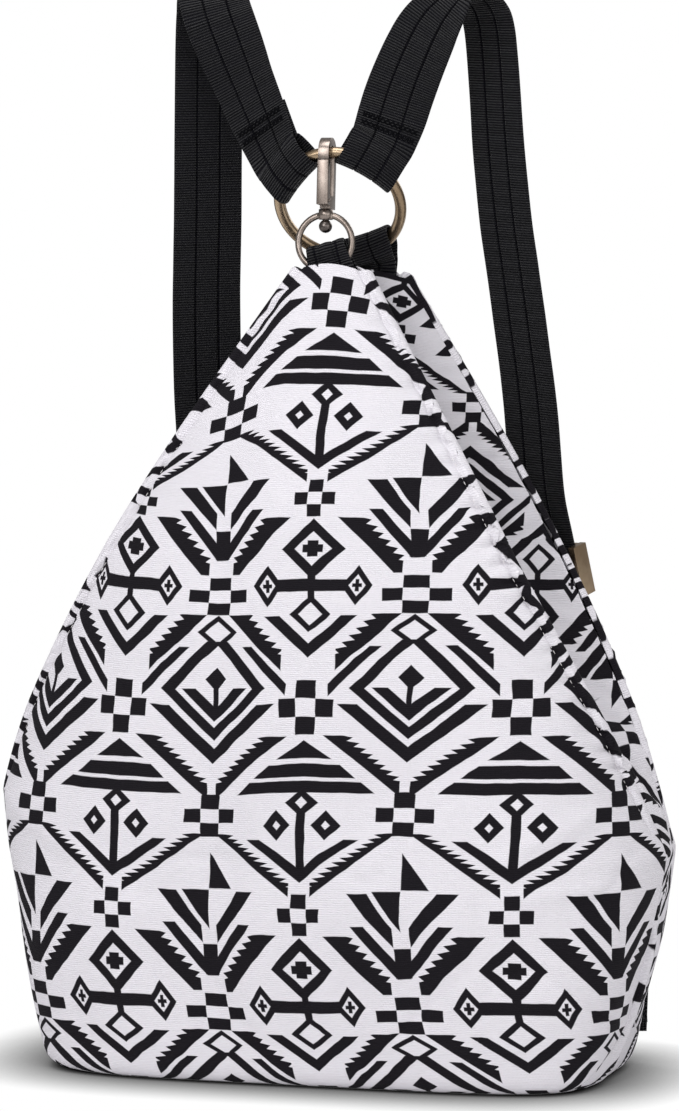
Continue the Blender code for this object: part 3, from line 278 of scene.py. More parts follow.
class Nodes:
    """A node tree with short ways to place what the finishes use."""

    def __init__(self, tree: bpy.types.NodeTree) -> None:
        """Keep the tree."""
        self.tree = tree

    def add(self, kind: str, **values: object) -> bpy.types.Node:
        """Place a node.

        Args:
            kind: The node's type name without its ShaderNode start.
            values: Properties to set on it.

        Returns:
            The node.
        """
        node = self.tree.nodes.new("ShaderNode" + kind)
        for name, value in values.items():
            setattr(node, name, value)
        return node

    def link(self, source: Signal | bpy.types.NodeSocket, target: bpy.types.NodeSocket) -> None:
        """Join an output to an input."""
        self.tree.links.new(source.socket if isinstance(source, Signal) else source, target)

    def signal(self, socket: bpy.types.NodeSocket) -> Signal:
        """Wrap a socket for arithmetic."""
        return Signal(self.tree, socket)

    def cloth_place(self) -> tuple[Signal, Signal]:
        """Place on the piece's own cloth: millimetres across and along it."""
        uv = self.add("UVMap")
        parts = self.add("SeparateXYZ")
        self.link(uv.outputs["UV"], parts.inputs[0])
        return self.signal(parts.outputs["X"]) * 1000, self.signal(parts.outputs["Y"]) * 1000

    def noise(
        self, scale: float, detail: float, across: Signal | None = None, along: Signal | None = None
    ) -> Signal:
        """Noise over the object, or over two coordinates.

        Args:
            scale: Its scale, per metre of the object or per unit of the coordinates.
            detail: Its detail.
            across: First coordinate, or None for the object's own place.
            along: Second coordinate.

        Returns:
            The noise, 0 to 1.
        """
        node = self.add("TexNoise")
        node.inputs["Scale"].default_value = scale
        node.inputs["Detail"].default_value = detail
        if across is None:
            self.link(self.add("TexCoord").outputs["Object"], node.inputs["Vector"])
        else:
            joined = self.add("CombineXYZ")
            self.link(across, joined.inputs[0])
            self.link(along, joined.inputs[1])
            self.link(joined.outputs[0], node.inputs["Vector"])
        return self.signal(node.outputs["Fac"])

    def mixed(self, mask: Signal, first: object, second: object) -> bpy.types.NodeSocket:
        """Blend of two colours.

        Args:
            mask: 0 shows the first and 1 the second.
            first: A colour, or a socket that carries one.
            second: The same for the other.

        Returns:
            The blended colour's socket.
        """
        node = self.add("Mix", data_type="RGBA")
        self.link(mask, node.inputs["Factor"])
        for place, colour in ((node.inputs[6], first), (node.inputs[7], second)):
            if isinstance(colour, bpy.types.NodeSocket):
                self.link(colour, place)
            else:
                place.default_value = (*colour, 1)
        return node.outputs[2]

    def group(self, name: str) -> bpy.types.Node:
        """Place a node group by its name."""
        node = self.add("Group")
        node.node_tree = bpy.data.node_groups[name]
        return node

    def weave(self, across: Signal, along: Signal, rib: float, yarn: float) -> tuple[Signal, Signal]:
        """Place the ribbed weave.

        Args:
            across: Millimetres across the cloth.
            along: Millimetres along it.
            rib: Distance from rib to rib.
            yarn: Distance from yarn to yarn.

        Returns:
            Its height and its tone.
        """
        node = self.group("rib weave")
        self.link(across, node.inputs["Across"])
        self.link(along, node.inputs["Along"])
        node.inputs["Rib"].default_value = rib
        node.inputs["Yarn"].default_value = yarn
        return self.signal(node.outputs["Height"]), self.signal(node.outputs["Tone"])

    def camera_only(self, plain: bpy.types.NodeSocket, seen: bpy.types.NodeSocket) -> None:
        """Show the camera one shader, and light everything else with another."""
        mix = self.add("MixShader")
        self.link(self.add("LightPath").outputs["Is Camera Ray"], mix.inputs[0])
        self.link(plain, mix.inputs[1])
        self.link(seen, mix.inputs[2])
        output = next(node for node in self.tree.nodes if node.type.startswith("OUTPUT"))
        self.link(mix.outputs[0], output.inputs["Surface"])


def new_group(
    name: str, inputs: Sequence[str], outputs: Sequence[str]
) -> tuple[Nodes, dict[str, Signal], bpy.types.Node]:
    """Make an empty node group of plain values.

    Args:
        name: Name of the group.
        inputs: Names of its inputs.
        outputs: Names of its outputs.

    Returns:
        The group's nodes, its inputs by name, and its output node.
    """
    tree = bpy.data.node_groups.new(name, "ShaderNodeTree")
    for label in inputs:
        tree.interface.new_socket(label, in_out="INPUT", socket_type="NodeSocketFloat")
    for label in outputs:
        tree.interface.new_socket(label, in_out="OUTPUT", socket_type="NodeSocketFloat")
    entry = tree.nodes.new("NodeGroupInput")
    leave = tree.nodes.new("NodeGroupOutput")
    return Nodes(tree), {label: Signal(tree, entry.outputs[label]) for label in inputs}, leave


class PrintDrawing:
    """The canvas print: black geometric motifs in two columns that alternate, as a mask over the cloth."""

    pitch = 50.0
    repeat = 190.4
    edge = 0.34

    def __init__(self) -> None:
        """Draw both columns into the node group."""
        nodes, inputs, leave = new_group("geometric print", ("Across", "Down"), ("Ink",))
        self.nodes = nodes
        across, down = inputs["Across"], inputs["Down"]
        self.first = abs(across.wrapped(-self.pitch, self.pitch))
        self.signed = (across - self.pitch).wrapped(-self.pitch, self.pitch)
        self.second = abs(self.signed)
        self.high = down.wrapped(-14.0, self.repeat - 14.0)
        self.low = down.wrapped(60.0, self.repeat + 60.0)
        ink = self.first_column() | self.second_column()
        nodes.link(ink.mask(self.edge), leave.inputs["Ink"])

    def slab(self, value: Signal, low: float, high: float) -> Signal:
        """Depth inside a band of a coordinate."""
        return (high - low) / 2 - abs(value - (high + low) / 2)

    def diamond(self, across: Signal, down: Signal, wide: float, tall: float) -> Signal:
        """Depth inside a diamond of two half sizes."""
        scale = wide * tall / math.hypot(wide, tall)
        return scale - (abs(across) * (scale / wide)).plus(scale / tall, abs(down))

    def frame(self, across: Signal, down: Signal, outer: Pair, inner: Pair) -> Signal:
        """Depth inside a hollow diamond."""
        return self.diamond(across, down, *outer) & (0.0 - self.diamond(across, down, *inner))

    def above(self, down: Signal, across: Signal, start: float, slope: float) -> Signal:
        """Depth on the upper side of a line that starts at a height and falls by a slope."""
        return (start - down).plus(slope, across) * (1 / math.hypot(1, slope))

    def below(self, down: Signal, across: Signal, start: float, slope: float) -> Signal:
        """Depth on the lower side of such a line."""
        return (down - start).plus(-slope, across) * (1 / math.hypot(1, slope))

    def toothed(
        self,
        down: Signal,
        across: Signal,
        start: float,
        slope: float,
        period: float = 3.45,
        depth: float = 3.3,
    ) -> Signal:
        """Depth on the lower side of a line that is cut into teeth.

        Args:
            down: Coordinate down the cloth.
            across: Distance from the column's middle.
            start: Height of the line of the teeth's tips at the middle.
            slope: Its slope.
            period: Height from tooth to tooth.
            depth: Length of a tooth.

        Returns:
            The depth.
        """
        part = (down * (1 / period)).fraction()
        tooth = (part * (1 / 0.38)) & ((1.0 - part) * (1 / 0.62))
        return self.below(down, across, start, slope) - (1.0 - tooth) * depth

    def cross(self, across: Signal, down: Signal, wide: float, arm: float, tall: float) -> Signal:
        """Depth inside the four dark cells round a pale one.

        Args:
            across: Distance from the column's middle.
            down: Distance from the cross's middle.
            wide: Half width of the middle cell.
            arm: Reach of the side cells.
            tall: Height of a cell.

        Returns:
            The depth.
        """
        height = abs(down)
        level = (tall / 2 - height) & self.slab(across, wide, arm)
        upright = (wide - across) & self.slab(height, tall / 2, 1.5 * tall)
        return level | upright

    def first_column(self) -> Signal:
        """Depth inside the motifs of the column with the large checkered crosses."""
        a, y = self.first, self.high
        shapes = [self.cross(a, y, 4.8, 13.2, 8.2)]
        shapes.append((23.5 - y) & self.below(y, a, 14.9, 0.63))
        shapes.append(self.slab(y, 26.0, 32.2) & self.below(y, a, 11.4, 0.84))
        shapes.append(self.slab(y, 33.9, 39.4) & self.below(y, a, 13.6, 0.74))
        shapes.append(self.frame(a, y - 44.0, (8.0, 6.6), (2.9, 2.7)))
        shapes.append((2.25 - a) & self.slab(y, 48.5, 77.0))
        shapes.append(self.frame(a - 11.8, y - 54.1, (6.9, 6.8), (2.0, 2.0)))
        arms = self.above(y, a, 78.3, -0.65) & self.below(y, a, 73.1, -0.62)
        shapes.append(arms & (y - 60.3))
        serrated = self.above(y, a, 87.4, -0.635) & self.toothed(y, a, 80.4, -0.62, 2.05, 3.0)
        shapes.append(serrated & (a - 5.2) & (y - 57.5))
        shapes.append(self.cross(a, y - 91.7, 3.6, 10.1, 5.8))
        middle = y - 115.6
        plus = ((5.1 - a) & (1.9 - abs(middle))) | ((2.8 - a) & (3.9 - abs(middle)))
        shapes.append(self.frame(a, middle, (15.5, 14.4), (9.2, 8.2)) | plus)
        shapes.append((1.8 - a) & self.slab(y, 127.0, 140.0))
        shapes.append((17.0 - a) & self.slab(y, 129.8, 135.6))
        side, height = abs(a - 21.9), abs(y - 132.7)
        star = ((2.3 - side) & (0.9 - height)) | ((0.9 - side) & (2.9 - height))
        shapes.append(self.frame(side, height, (7.5, 9.6), (4.0, 5.2)) | star)
        shapes.append(self.frame(a, y - 146.3, (10.3, 9.2), (6.0, 5.6)))
        chevron = self.above(y, a, 168.0, -0.92) & self.below(y, a, 160.9, -0.92)
        shapes.append(chevron & (y - 146.8))
        return self.joined(shapes)

    def second_column(self) -> Signal:
        """Depth inside the motifs of the column with the sheaf of leaves and the nested diamonds."""
        s, b, y = self.signed, self.second, self.low
        lower_sail = (y - 81.8) & self.above(y, s, 98.7, 1.2) & (0.0 - s)
        upper_sail = (81.2 - y) & self.below(y, s, 66.1, 1.15) & s
        shapes = [lower_sail, upper_sail]
        leaf = self.above(y, b, 109.8, -1.03) & self.below(y, b, 102.0, -1.18)
        shapes.append(leaf & (y - 82.4) & (b - 4.2))
        leaf = self.above(y, b, 123.7, -1.12) & self.below(y, b, 116.0, -1.105)
        shapes.append(leaf & (y - 96.2) & (119.9 - y))
        shapes.append((4.2 - b) & self.slab(y, 106.0, 119.5))
        serrated = self.above(y, b, 137.7, -0.967) & self.toothed(y, b, 125.7, -1.06)
        shapes.append(serrated & (b - 6.9) & self.slab(y, 100.5, 127.0))
        shapes.append(self.cross(b, y - 137.0, 6.0, 16.2, 5.9))
        shapes.append(self.frame(b, y - 154.2, (11.0, 8.2), (7.0, 5.2)) & (160.8 - y))
        outer = self.above(y, b, 204.4, -0.78) & self.below(y, b, 153.5, 0.94)
        inner = self.above(y, b, 198.6, -0.78) & self.below(y, b, 160.6, 0.94)
        shapes.append(outer & (0.0 - inner) & (y - 158.5))
        shapes.append(self.diamond(b, y - 176.5, 6.0, 5.5))
        shapes.append((1.4 - b) & self.slab(y, 180.0, 191.0))
        shapes.append(self.above(y, b, 195.9, -0.8) & self.below(y, b, 189.3, -0.77) & (y - 180.9))
        band = self.above(y, b, 147.9, 0.93) & self.below(y, b, 142.5, 0.93)
        shapes.append(band & (y - 161.7) & (39.8 - b))
        serrated = self.above(y, b, 140.7, 0.894) & self.toothed(y, b, 124.6, 1.04)
        shapes.append(serrated & (y - 145.9) & (36.6 - b))
        chevron = self.above(y, b, 215.2, -0.763) & self.below(y, b, 207.9, -0.77)
        shapes.append(chevron & (y - 188.5))
        serrated = self.above(y, b, 233.3, -0.74) & self.toothed(y, b, 224.3, -0.77, 2.6, 3.1)
        shapes.append(serrated & self.slab(y, 203.1, 229.8) & (b - 2.4) & (41.0 - b))
        shapes.append((4.8 - b) & self.slab(y, 229.4, 236.6))
        shapes.append(self.cross(b, y - 239.7, 5.0, 13.8, 6.4))
        return self.joined(shapes)

    def joined(self, shapes: Sequence[Signal]) -> Signal:
        """Depth inside any of several shapes."""
        return functools.reduce(operator.or_, shapes)


def build_shared_groups() -> None:
    """Make the node groups that several finishes use: weave, print, soiling and wear."""
    PrintDrawing()
    nodes, inputs, leave = new_group("rib weave", ("Across", "Along", "Rib", "Yarn"), ("Height", "Tone"))
    across, along, rib, yarn = (inputs[name] for name in ("Across", "Along", "Rib", "Yarn"))
    drift = nodes.noise(0.35, 2.0, across, along)
    ribs = (along + drift * 0.8) / rib * math.tau
    yarns = across / yarn * math.tau
    high = ribs.apply("SINE", ribs)
    fine = yarns.apply("SINE", yarns + high)
    slub = nodes.noise(1.0, 3.0, across * 0.35, along * 1.6)
    nodes.link(high * 0.5 + fine * 0.28 + slub * 0.55, leave.inputs["Height"])
    nodes.link((high * 0.22 + fine * 0.12 + slub * 0.66 + 0.17).clamped(), leave.inputs["Tone"])
    nodes, inputs, leave = new_group("handling wear", ("Amount",), ("Wear", "Grime"))
    broad = nodes.noise(55.0, 2.0)
    fine = nodes.noise(300.0, 3.0)
    wear = (broad + (fine - 0.5) * 0.3 - 0.42) * 3.2
    nodes.link((wear * inputs["Amount"]).clamped(), leave.inputs["Wear"])
    nodes.link(((1.0 - broad) * 1.6 - 0.35).clamped(), leave.inputs["Grime"])


class Finish:
    """Base of the finishes: makes one material with a Principled shader."""

    def start(self, name: str) -> tuple[Nodes, bpy.types.Node, bpy.types.Material]:
        """Make a material.

        Args:
            name: Name of the material.

        Returns:
            Its nodes, its shader and the material.
        """
        material = bpy.data.materials.new(name)
        material.use_nodes = True
        return Nodes(material.node_tree), material.node_tree.nodes["Principled BSDF"], material

    def bump(
        self, nodes: Nodes, shader: bpy.types.Node, height: Signal, strength: float, distance: float
    ) -> None:
        """Give the shader a relief.

        Args:
            nodes: The material's nodes.
            shader: Its Principled shader.
            height: The relief, about 0 to 1.
            strength: How much of it shows.
            distance: Its depth in metres.
        """
        bump = nodes.add("Bump")
        bump.inputs["Strength"].default_value = strength
        bump.inputs["Distance"].default_value = distance
        nodes.link(height, bump.inputs["Height"])
        nodes.link(bump.outputs["Normal"], shader.inputs["Normal"])


@dataclass(frozen=True)
class Canvas(Finish):
    """Undyed ribbed canvas, with or without the print."""

    name: str
    shift: float = 0.0
    drop: float = 0.0
    printed: bool = True
    turned: bool = False
    cloth: Colour = (0.745, 0.722, 0.768)
    shade: Colour = (0.560, 0.540, 0.580)
    ink: Colour = (0.0040, 0.0032, 0.0050)
    worn_ink: Colour = (0.018, 0.0155, 0.020)
    waver: float = 3.0

    def build(self) -> bpy.types.Material:
        """Make the material."""
        nodes, shader, material = self.start(self.name)
        across, along = nodes.cloth_place()
        height, tone = nodes.weave(across, along, 0.92, 0.62)
        blotch = nodes.noise(14.0, 3.0)
        colour = nodes.mixed((tone * 0.62).plus(0.22, blotch), self.cloth, self.shade)
        if self.printed:
            drawing = nodes.group("geometric print")
            waver = nodes.noise(0.05, 2.0, across, along)
            moved = (across + waver * self.waver) - (self.shift + self.waver / 2)
            nodes.link(moved, drawing.inputs["Across"])
            fall = along - self.drop if self.turned else self.drop - along
            nodes.link(fall.plus(1.6, waver), drawing.inputs["Down"])
            speck = nodes.noise(1.9, 1.0, across, along)
            worn = ((speck - 0.70) * 5.6).clamped()
            ink = nodes.mixed((tone * 0.55) | worn, self.ink, self.worn_ink)
            colour = nodes.mixed(nodes.signal(drawing.outputs["Ink"]), colour, ink)
        nodes.link(colour, shader.inputs["Base Color"])
        nodes.link(0.80 + tone * 0.16, shader.inputs["Roughness"])
        shader.inputs["Specular IOR Level"].default_value = 0.12
        self.bump(nodes, shader, height, 0.7, 0.00028)
        return material


@dataclass(frozen=True)
class RibbedWebbing(Finish):
    """Black webbing with crosswise ribs in three bands, parted by two sewn grooves."""

    name: str = "black webbing"
    dark: Colour = (0.0008, 0.0008, 0.0016)
    light: Colour = (0.0060, 0.0056, 0.0090)
    groove: float = 5.4
    rib: float = 1.2
    stitch: float = 3.2

    def build(self) -> bpy.types.Material:
        """Make the material."""
        nodes, shader, material = self.start(self.name)
        across, along = nodes.cloth_place()
        weft, tone = nodes.weave(across, along, 1.05, 0.8)
        ridge = along.wave(self.rib) * 0.5 + 0.5
        height = weft * 0.3 + ridge
        gap = abs(abs(across) - self.groove)
        stitched = (0.55 - gap) * 2.6
        run = (along * (1 / self.stitch)).fraction()
        dashes = (stitched & ((0.36 - abs(run - 0.5)) * 6.0)).clamped()
        fuzz = nodes.noise(900.0, 2.0)
        speckle = (tone * 0.62).plus(0.34, fuzz)
        nodes.link(nodes.mixed(speckle | dashes, self.dark, self.light), shader.inputs["Base Color"])
        nodes.link(0.40 + fuzz * 0.20, shader.inputs["Roughness"])
        groove = ((0.9 - gap) * 1.6).clamped()
        shown = ridge * (1.0 - groove * 0.85)
        nodes.link(shown * 0.24 + 0.02, shader.inputs["Specular IOR Level"])
        nodes.link(shown * 0.10, shader.inputs["Sheen Weight"])
        relief = height + dashes * 0.8 - groove * 1.8
        self.bump(nodes, shader, relief, 1.0, 0.0009)
        return material


@dataclass(frozen=True)
class PlainWeave(Finish):
    """Fine plain cloth, as on a zip's tape."""

    name: str
    dark: Colour
    light: Colour

    def build(self) -> bpy.types.Material:
        """Make the material."""
        nodes, shader, material = self.start(self.name)
        across, along = nodes.cloth_place()
        height, tone = nodes.weave(across, along, 0.55, 0.5)
        nodes.link(nodes.mixed(tone, self.dark, self.light), shader.inputs["Base Color"])
        nodes.link(0.7 + tone * 0.2, shader.inputs["Roughness"])
        self.bump(nodes, shader, height, 0.5, 0.00015)
        return material


@dataclass(frozen=True)
class AgedMetal(Finish):
    """Plated metal whose dark patina is rubbed away in places."""

    name: str
    bright: Colour
    patina: Colour
    wear: float
    smooth: float
    rough: float

    def build(self) -> bpy.types.Material:
        """Make the material."""
        nodes, shader, material = self.start(self.name)
        worn = nodes.group("handling wear")
        worn.inputs["Amount"].default_value = self.wear
        wear = nodes.signal(worn.outputs["Wear"])
        grime = nodes.signal(worn.outputs["Grime"])
        nodes.link(nodes.mixed(wear, self.patina, self.bright), shader.inputs["Base Color"])
        shader.inputs["Metallic"].default_value = 1.0
        scratch = nodes.noise(2600.0, 2.0)
        roughness = (self.smooth + grime * (self.rough - self.smooth)).plus(0.06, scratch - 0.5)
        nodes.link(roughness, shader.inputs["Roughness"])
        self.bump(nodes, shader, nodes.noise(500.0, 2.0), 0.04, 0.00002)
        return material


@dataclass(frozen=True)
class Moulded(Finish):
    """Plain moulded or spun material: nylon coils and sewing thread."""

    name: str
    dark: Colour
    light: Colour
    roughness: float
    shine: float

    def build(self) -> bpy.types.Material:
        """Make the material."""
        nodes, shader, material = self.start(self.name)
        shader.inputs["Specular IOR Level"].default_value = self.shine
        grain = nodes.noise(1500.0, 3.0)
        nodes.link(nodes.mixed(grain, self.dark, self.light), shader.inputs["Base Color"])
        nodes.link(self.roughness + grain * 0.15, shader.inputs["Roughness"])
        self.bump(nodes, shader, grain, 0.4, 0.0001)
        return material


class Side(Enum):
    """Which of the two wide panels, and the horn above it."""

    FRONT = "front"
    REAR = "rear"

    @property
    def sign(self) -> int:
        """Direction of the side along Y."""
        return -1 if self is Side.FRONT else 1


@dataclass(frozen=True)
class Horn:
    """One of the two horns that the body narrows to."""

    width: float
    depth: float
    shift: float
    top: float


@dataclass(frozen=True)
class BagForm:
    """The bag's shape: a section that changes with height, with sides folded inwards above the belly."""

    base_width: float = 0.262
    base_depth: float = 0.126
    roll: float = 0.007
    belly_width: float = 0.3145
    belly_depth: float = 0.150
    belly_height: float = 0.118
    shoulder: float = 1.18
    ridge_spread: float = 0.075
    ridge_height: float = 0.248
    seam_height: float = 0.098
    seam_spread: float = 0.010
    corner_height: float = 0.038
    base_spread: float = 0.086
    valley: float = 0.245
    horn_thickness: float = 0.0098
    horn_arc: float = 0.005
    canvas: float = 0.0014
    gap: float = 0.0003
    zip_opening: float = 0.0058
    zip_turn: float = 0.005
    zip_end: float = 0.013

    @property
    def horns(self) -> dict[Side, Horn]:
        """The front and rear horn."""
        return {Side.FRONT: Horn(0.0335, 0.0145, 0.001, 0.377), Side.REAR: Horn(0.0375, 0.0225, 0.007, 0.371)}

    def folded(self, z: float) -> float:
        """How far the sides are folded inwards at a height."""
        return ease(share(z, self.belly_height, self.belly_height + 0.4 * (self.valley - self.belly_height)))

    def deep(self, z: float, side: Side) -> float:
        """Distance of a wide panel's middle from the middle plane."""
        if z < self.belly_height:
            swell = 1 - (1 - z / self.belly_height) ** 1.5
            return (self.base_depth + (self.belly_depth - self.base_depth) * swell) / 2
        horn = self.horns[side].depth + self.horn_thickness / 2
        climbed = share(z, self.belly_height, self.horns[side].top) ** 2.4
        return self.belly_depth / 2 + (horn - self.belly_depth / 2) * climbed

    def seam(self, z: float, side: Side) -> float:
        """Distance of the seam at a panel's edge from the middle plane."""
        if z > self.ridge_height:
            fall = share(z, self.ridge_height, self.horns[side].top) ** 1.5
            return self.ridge_spread / 2 + (self.horns[side].depth - self.ridge_spread / 2) * fall
        opened = self.ridge_spread / 2 * (1 - (1 - share(z, self.seam_height, self.ridge_height)) ** 1.6)
        corner = self.base_spread / 2 * math.cos(math.pi / 2 * share(z, 0, self.corner_height)) ** 2
        return math.hypot(opened + corner, self.seam_spread / 2)

    def girth(self, z: float, side: Side, hand: int) -> float:
        """Half width of the section."""
        belly = 0.125 if hand < 0 else 0.107
        if z < belly:
            swell = 1 - (1 - z / belly) ** 1.2
            return (self.base_width + (self.belly_width - self.base_width) * swell) / 2
        left = 1 - share(z, belly, self.horns[side].top) ** self.shoulder
        return (self.horns[side].width + (self.belly_width - self.horns[side].width) * left) / 2

    def lean(self, z: float, side: Side) -> float:
        """Sideways shift of the section towards its horn."""
        return self.horns[side].shift * share(z, self.valley, self.horns[side].top)

    def section(self, z: float, side: Side, hand: int, inset: float) -> tuple[float, float, float, float]:
        """Section at a height.

        Args:
            z: Height.
            side: Front or rear.
            hand: -1 for the left half and 1 for the right one.
            inset: How far inside the outline it is, on the rolled edge at the base.

        Returns:
            Half width, half depth, exponent of the superellipse, and the angle of its seam.
        """
        power = 2.5 + 2.0 * (1 - ease(z / self.belly_height))
        power += 1.5 * share(z, self.valley, self.horns[side].top) ** 3
        deep = self.deep(z, side) - inset
        seam = min(self.seam(z, side), 0.9 * deep)
        chord = (1 - (seam / deep) ** power) ** (1 / power)
        edge = (self.girth(z, side, hand) - inset) * (chord + (1 - chord) * self.folded(z))
        return edge / chord, deep, power, math.atan2(chord, seam / deep)

    def oval(self, wide: float, deep: float, power: float, angle: float) -> tuple[float, float]:
        """Point of a superellipse at an angle from the panel's middle."""
        across, out = math.sin(angle), math.cos(angle)
        size = (abs(across) ** power + abs(out) ** power) ** (1 / power)
        return wide * across / size, deep * out / size

    def wide_point(self, side: Side, u: float, z: float, inset: float) -> Vector:
        """Inner surface of a wide panel, u from -1 to 1 between its seams."""
        wide, deep, power, seam = self.section(z, side, 1 if u > 0 else -1, inset)
        across, out = self.oval(wide, deep, power, u * seam)
        return Vector((across + self.lean(z, side), side.sign * out, z))

    def zip_line(self, z: float, side: Side) -> float:
        """Distance of the zip from the middle plane in the leg that climbs to a horn."""
        above = z - self.valley
        if above <= 0:
            return 0.0
        if above < self.zip_turn:
            return math.sqrt(self.zip_turn**2 - (self.zip_turn - above) ** 2)
        top = self.horns[side].depth - self.horn_thickness / 2
        leg = self.horns[side].top - self.valley - self.zip_turn
        return self.zip_turn + (top - self.zip_turn) * (above - self.zip_turn) / leg

    def crease(self, z: float, side: Side, hand: int) -> float:
        """Distance of the inward fold, or of the canvas edge along the zip, from the middle."""
        if z > self.valley:
            top = self.horns[side].top
            closing = ease(share(z, top - self.zip_end + 0.005, top - 0.003))
            return self.zip_opening + (self.gap / 2 - self.zip_opening) * closing
        opened = (self.girth(z, Side.FRONT, hand) + self.girth(z, Side.REAR, hand)) / 2
        left = 1 - share(z, self.belly_height, self.valley) ** 1.5
        return self.zip_opening + (opened - self.zip_opening) * left

    def side_point(self, hand: int, side: Side, reach: float, level: Level) -> Vector:
        """Inner surface of a side panel, reach from 0 at the fold to 1 at the seam."""
        z = level.height(self, side)
        wide, deep, power, seam = self.section(z, side, hand, level.inset)
        halves = [self.section(level.height(self, one), one, hand, level.inset)[0] for one in Side]
        across, out = self.oval(wide, deep, power, seam + (math.pi / 2 - seam) * (1 - reach))
        across += (sum(halves) / 2 - wide) * (1 - reach)
        edge, edge_out = self.oval(wide, deep, power, seam)
        closed = share(z, self.valley, self.horns[side].top)
        inner, inner_out = self.crease(z, side, hand), self.zip_line(z, side)
        fold = self.folded(z)
        across += (inner + (edge - inner) * reach ** (1.25 - 0.25 * closed) - across) * fold
        out += (inner_out + (edge_out - inner_out) * reach ** (1 + 3.5 * closed**2) - out) * fold
        return Vector((hand * across + self.lean(z, side), side.sign * out, z))


@dataclass(frozen=True)
class Level:
    """A row across the bag: its inset, its height up to the mouth's lowest point, and its part above it."""

    inset: float
    low: float
    part: float

    def height(self, form: BagForm, side: Side) -> float:
        """Height of the row on one side."""
        return self.low + (form.horns[side].top - form.valley) * self.part


@dataclass(frozen=True)
class Fold:
    """A ridge of raised cloth between two places: (across, height) in metres."""

    start: tuple[float, float]
    end: tuple[float, float]
    height: float
    width: float

    def rise(self, across: float, z: float) -> float:
        """How far the cloth is raised at a place."""
        run = Vector((self.end[0] - self.start[0], self.end[1] - self.start[1]))
        away = Vector((across - self.start[0], z - self.start[1]))
        along = away.dot(run) / run.length_squared
        beyond = max(0.0, -along, along - 1) * run.length
        off = (away - run * along).length
        return self.height * math.exp(-((off / self.width) ** 2) - (beyond / (2 * self.width)) ** 2)


@dataclass(frozen=True)
class ClothPoint:
    """One vertex of a panel before it is thickened, with its distances that folds are measured by."""

    place: Vector
    flat: Pair
    thickness: float
    reach: Pair = (0.0, 0.0)


class Panel:
    """A thickened sheet of canvas made from one or two shaped grids."""

    most = 0.0042
    weld = 0.00002

    def __init__(self, node: str, finish: bpy.types.Material) -> None:
        """Keep the names and start with no grids."""
        self.node = node
        self.finish = finish
        self.pieces: list[bpy.types.Object] = []

    def add_grid(
        self,
        net: Sequence[Sequence[ClothPoint]],
        relief: Callable[[ClothPoint], float],
        held: Callable[[int, int], Vector | None] = lambda column, row: None,
    ) -> None:
        """Shape a grid and raise its folds.

        Args:
            net: Its rows of vertices.
            relief: How far a vertex is raised by folds.
            held: A fixed direction for a vertex's rise, or None for the surface's own.
        """
        columns, rows = len(net[0]) - 1, len(net) - 1
        item, spots = grid(f"{self.node}_cloth_{len(self.pieces)}", columns, rows)
        group = item.vertex_groups.new(name="thickness")
        flats = []
        for vertex, (column, row) in zip(item.data.vertices, spots):
            spot = net[row][column]
            along = net[row][min(column + 1, columns)].place - net[row][max(column - 1, 0)].place
            up = net[min(row + 1, rows)][column].place - net[max(row - 1, 0)][column].place
            normal = held(column, row) or along.cross(up).normalized()
            vertex.co = spot.place + normal * relief(spot)
            flats.append(spot.flat)
            group.add([vertex.index], min(1.0, spot.thickness / self.most), "REPLACE")
        lay_out(item, flats)
        self.pieces.append(item)

    def finished(self) -> bpy.types.Object:
        """Join the grids, thicken them and put the panel in its node's place."""
        item = self.pieces[0]
        activate(item)
        for other in self.pieces[1:]:
            other.select_set(True)
        if len(self.pieces) > 1:
            bpy.ops.object.join()
        item.name = f"{self.node}_cloth"
        bpy.ops.object.mode_set(mode="EDIT")
        bpy.ops.mesh.select_all(action="SELECT")
        bpy.ops.mesh.remove_doubles(threshold=self.weld)
        bpy.ops.object.mode_set(mode="OBJECT")
        solid = item.modifiers.new("thickness", "SOLIDIFY")
        solid.thickness = self.most
        solid.offset = 1
        solid.vertex_group = "thickness"
        solid.use_even_offset = True
        apply_modifiers(item)
        item.data.materials.append(self.finish)
        smooth(item, 70)
        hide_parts(self.node)
        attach(item, "bag")
        return item


class Measure:
    """Lengths along a curve that is given by a parameter from 0 to 1."""

    steps = 30

    def __init__(self, curve: Surface) -> None:
        """Measure the curve a little beyond its end."""
        points = [curve(step / self.steps) for step in range(self.steps + 3)]
        self.lengths = [0.0]
        for first, second in zip(points, points[1:]):
            self.lengths.append(self.lengths[-1] + (second - first).length)

    @property
    def total(self) -> float:
        """Length to the parameter 1."""
        return self.lengths[self.steps]

    def at(self, distance: float) -> float:
        """The parameter at a distance."""
        index = 0
        while index < len(self.lengths) - 2 and self.lengths[index + 1] < distance:
            index += 1
        low, high = self.lengths[index : index + 2]
        return (index + (distance - low) / (high - low)) / self.steps


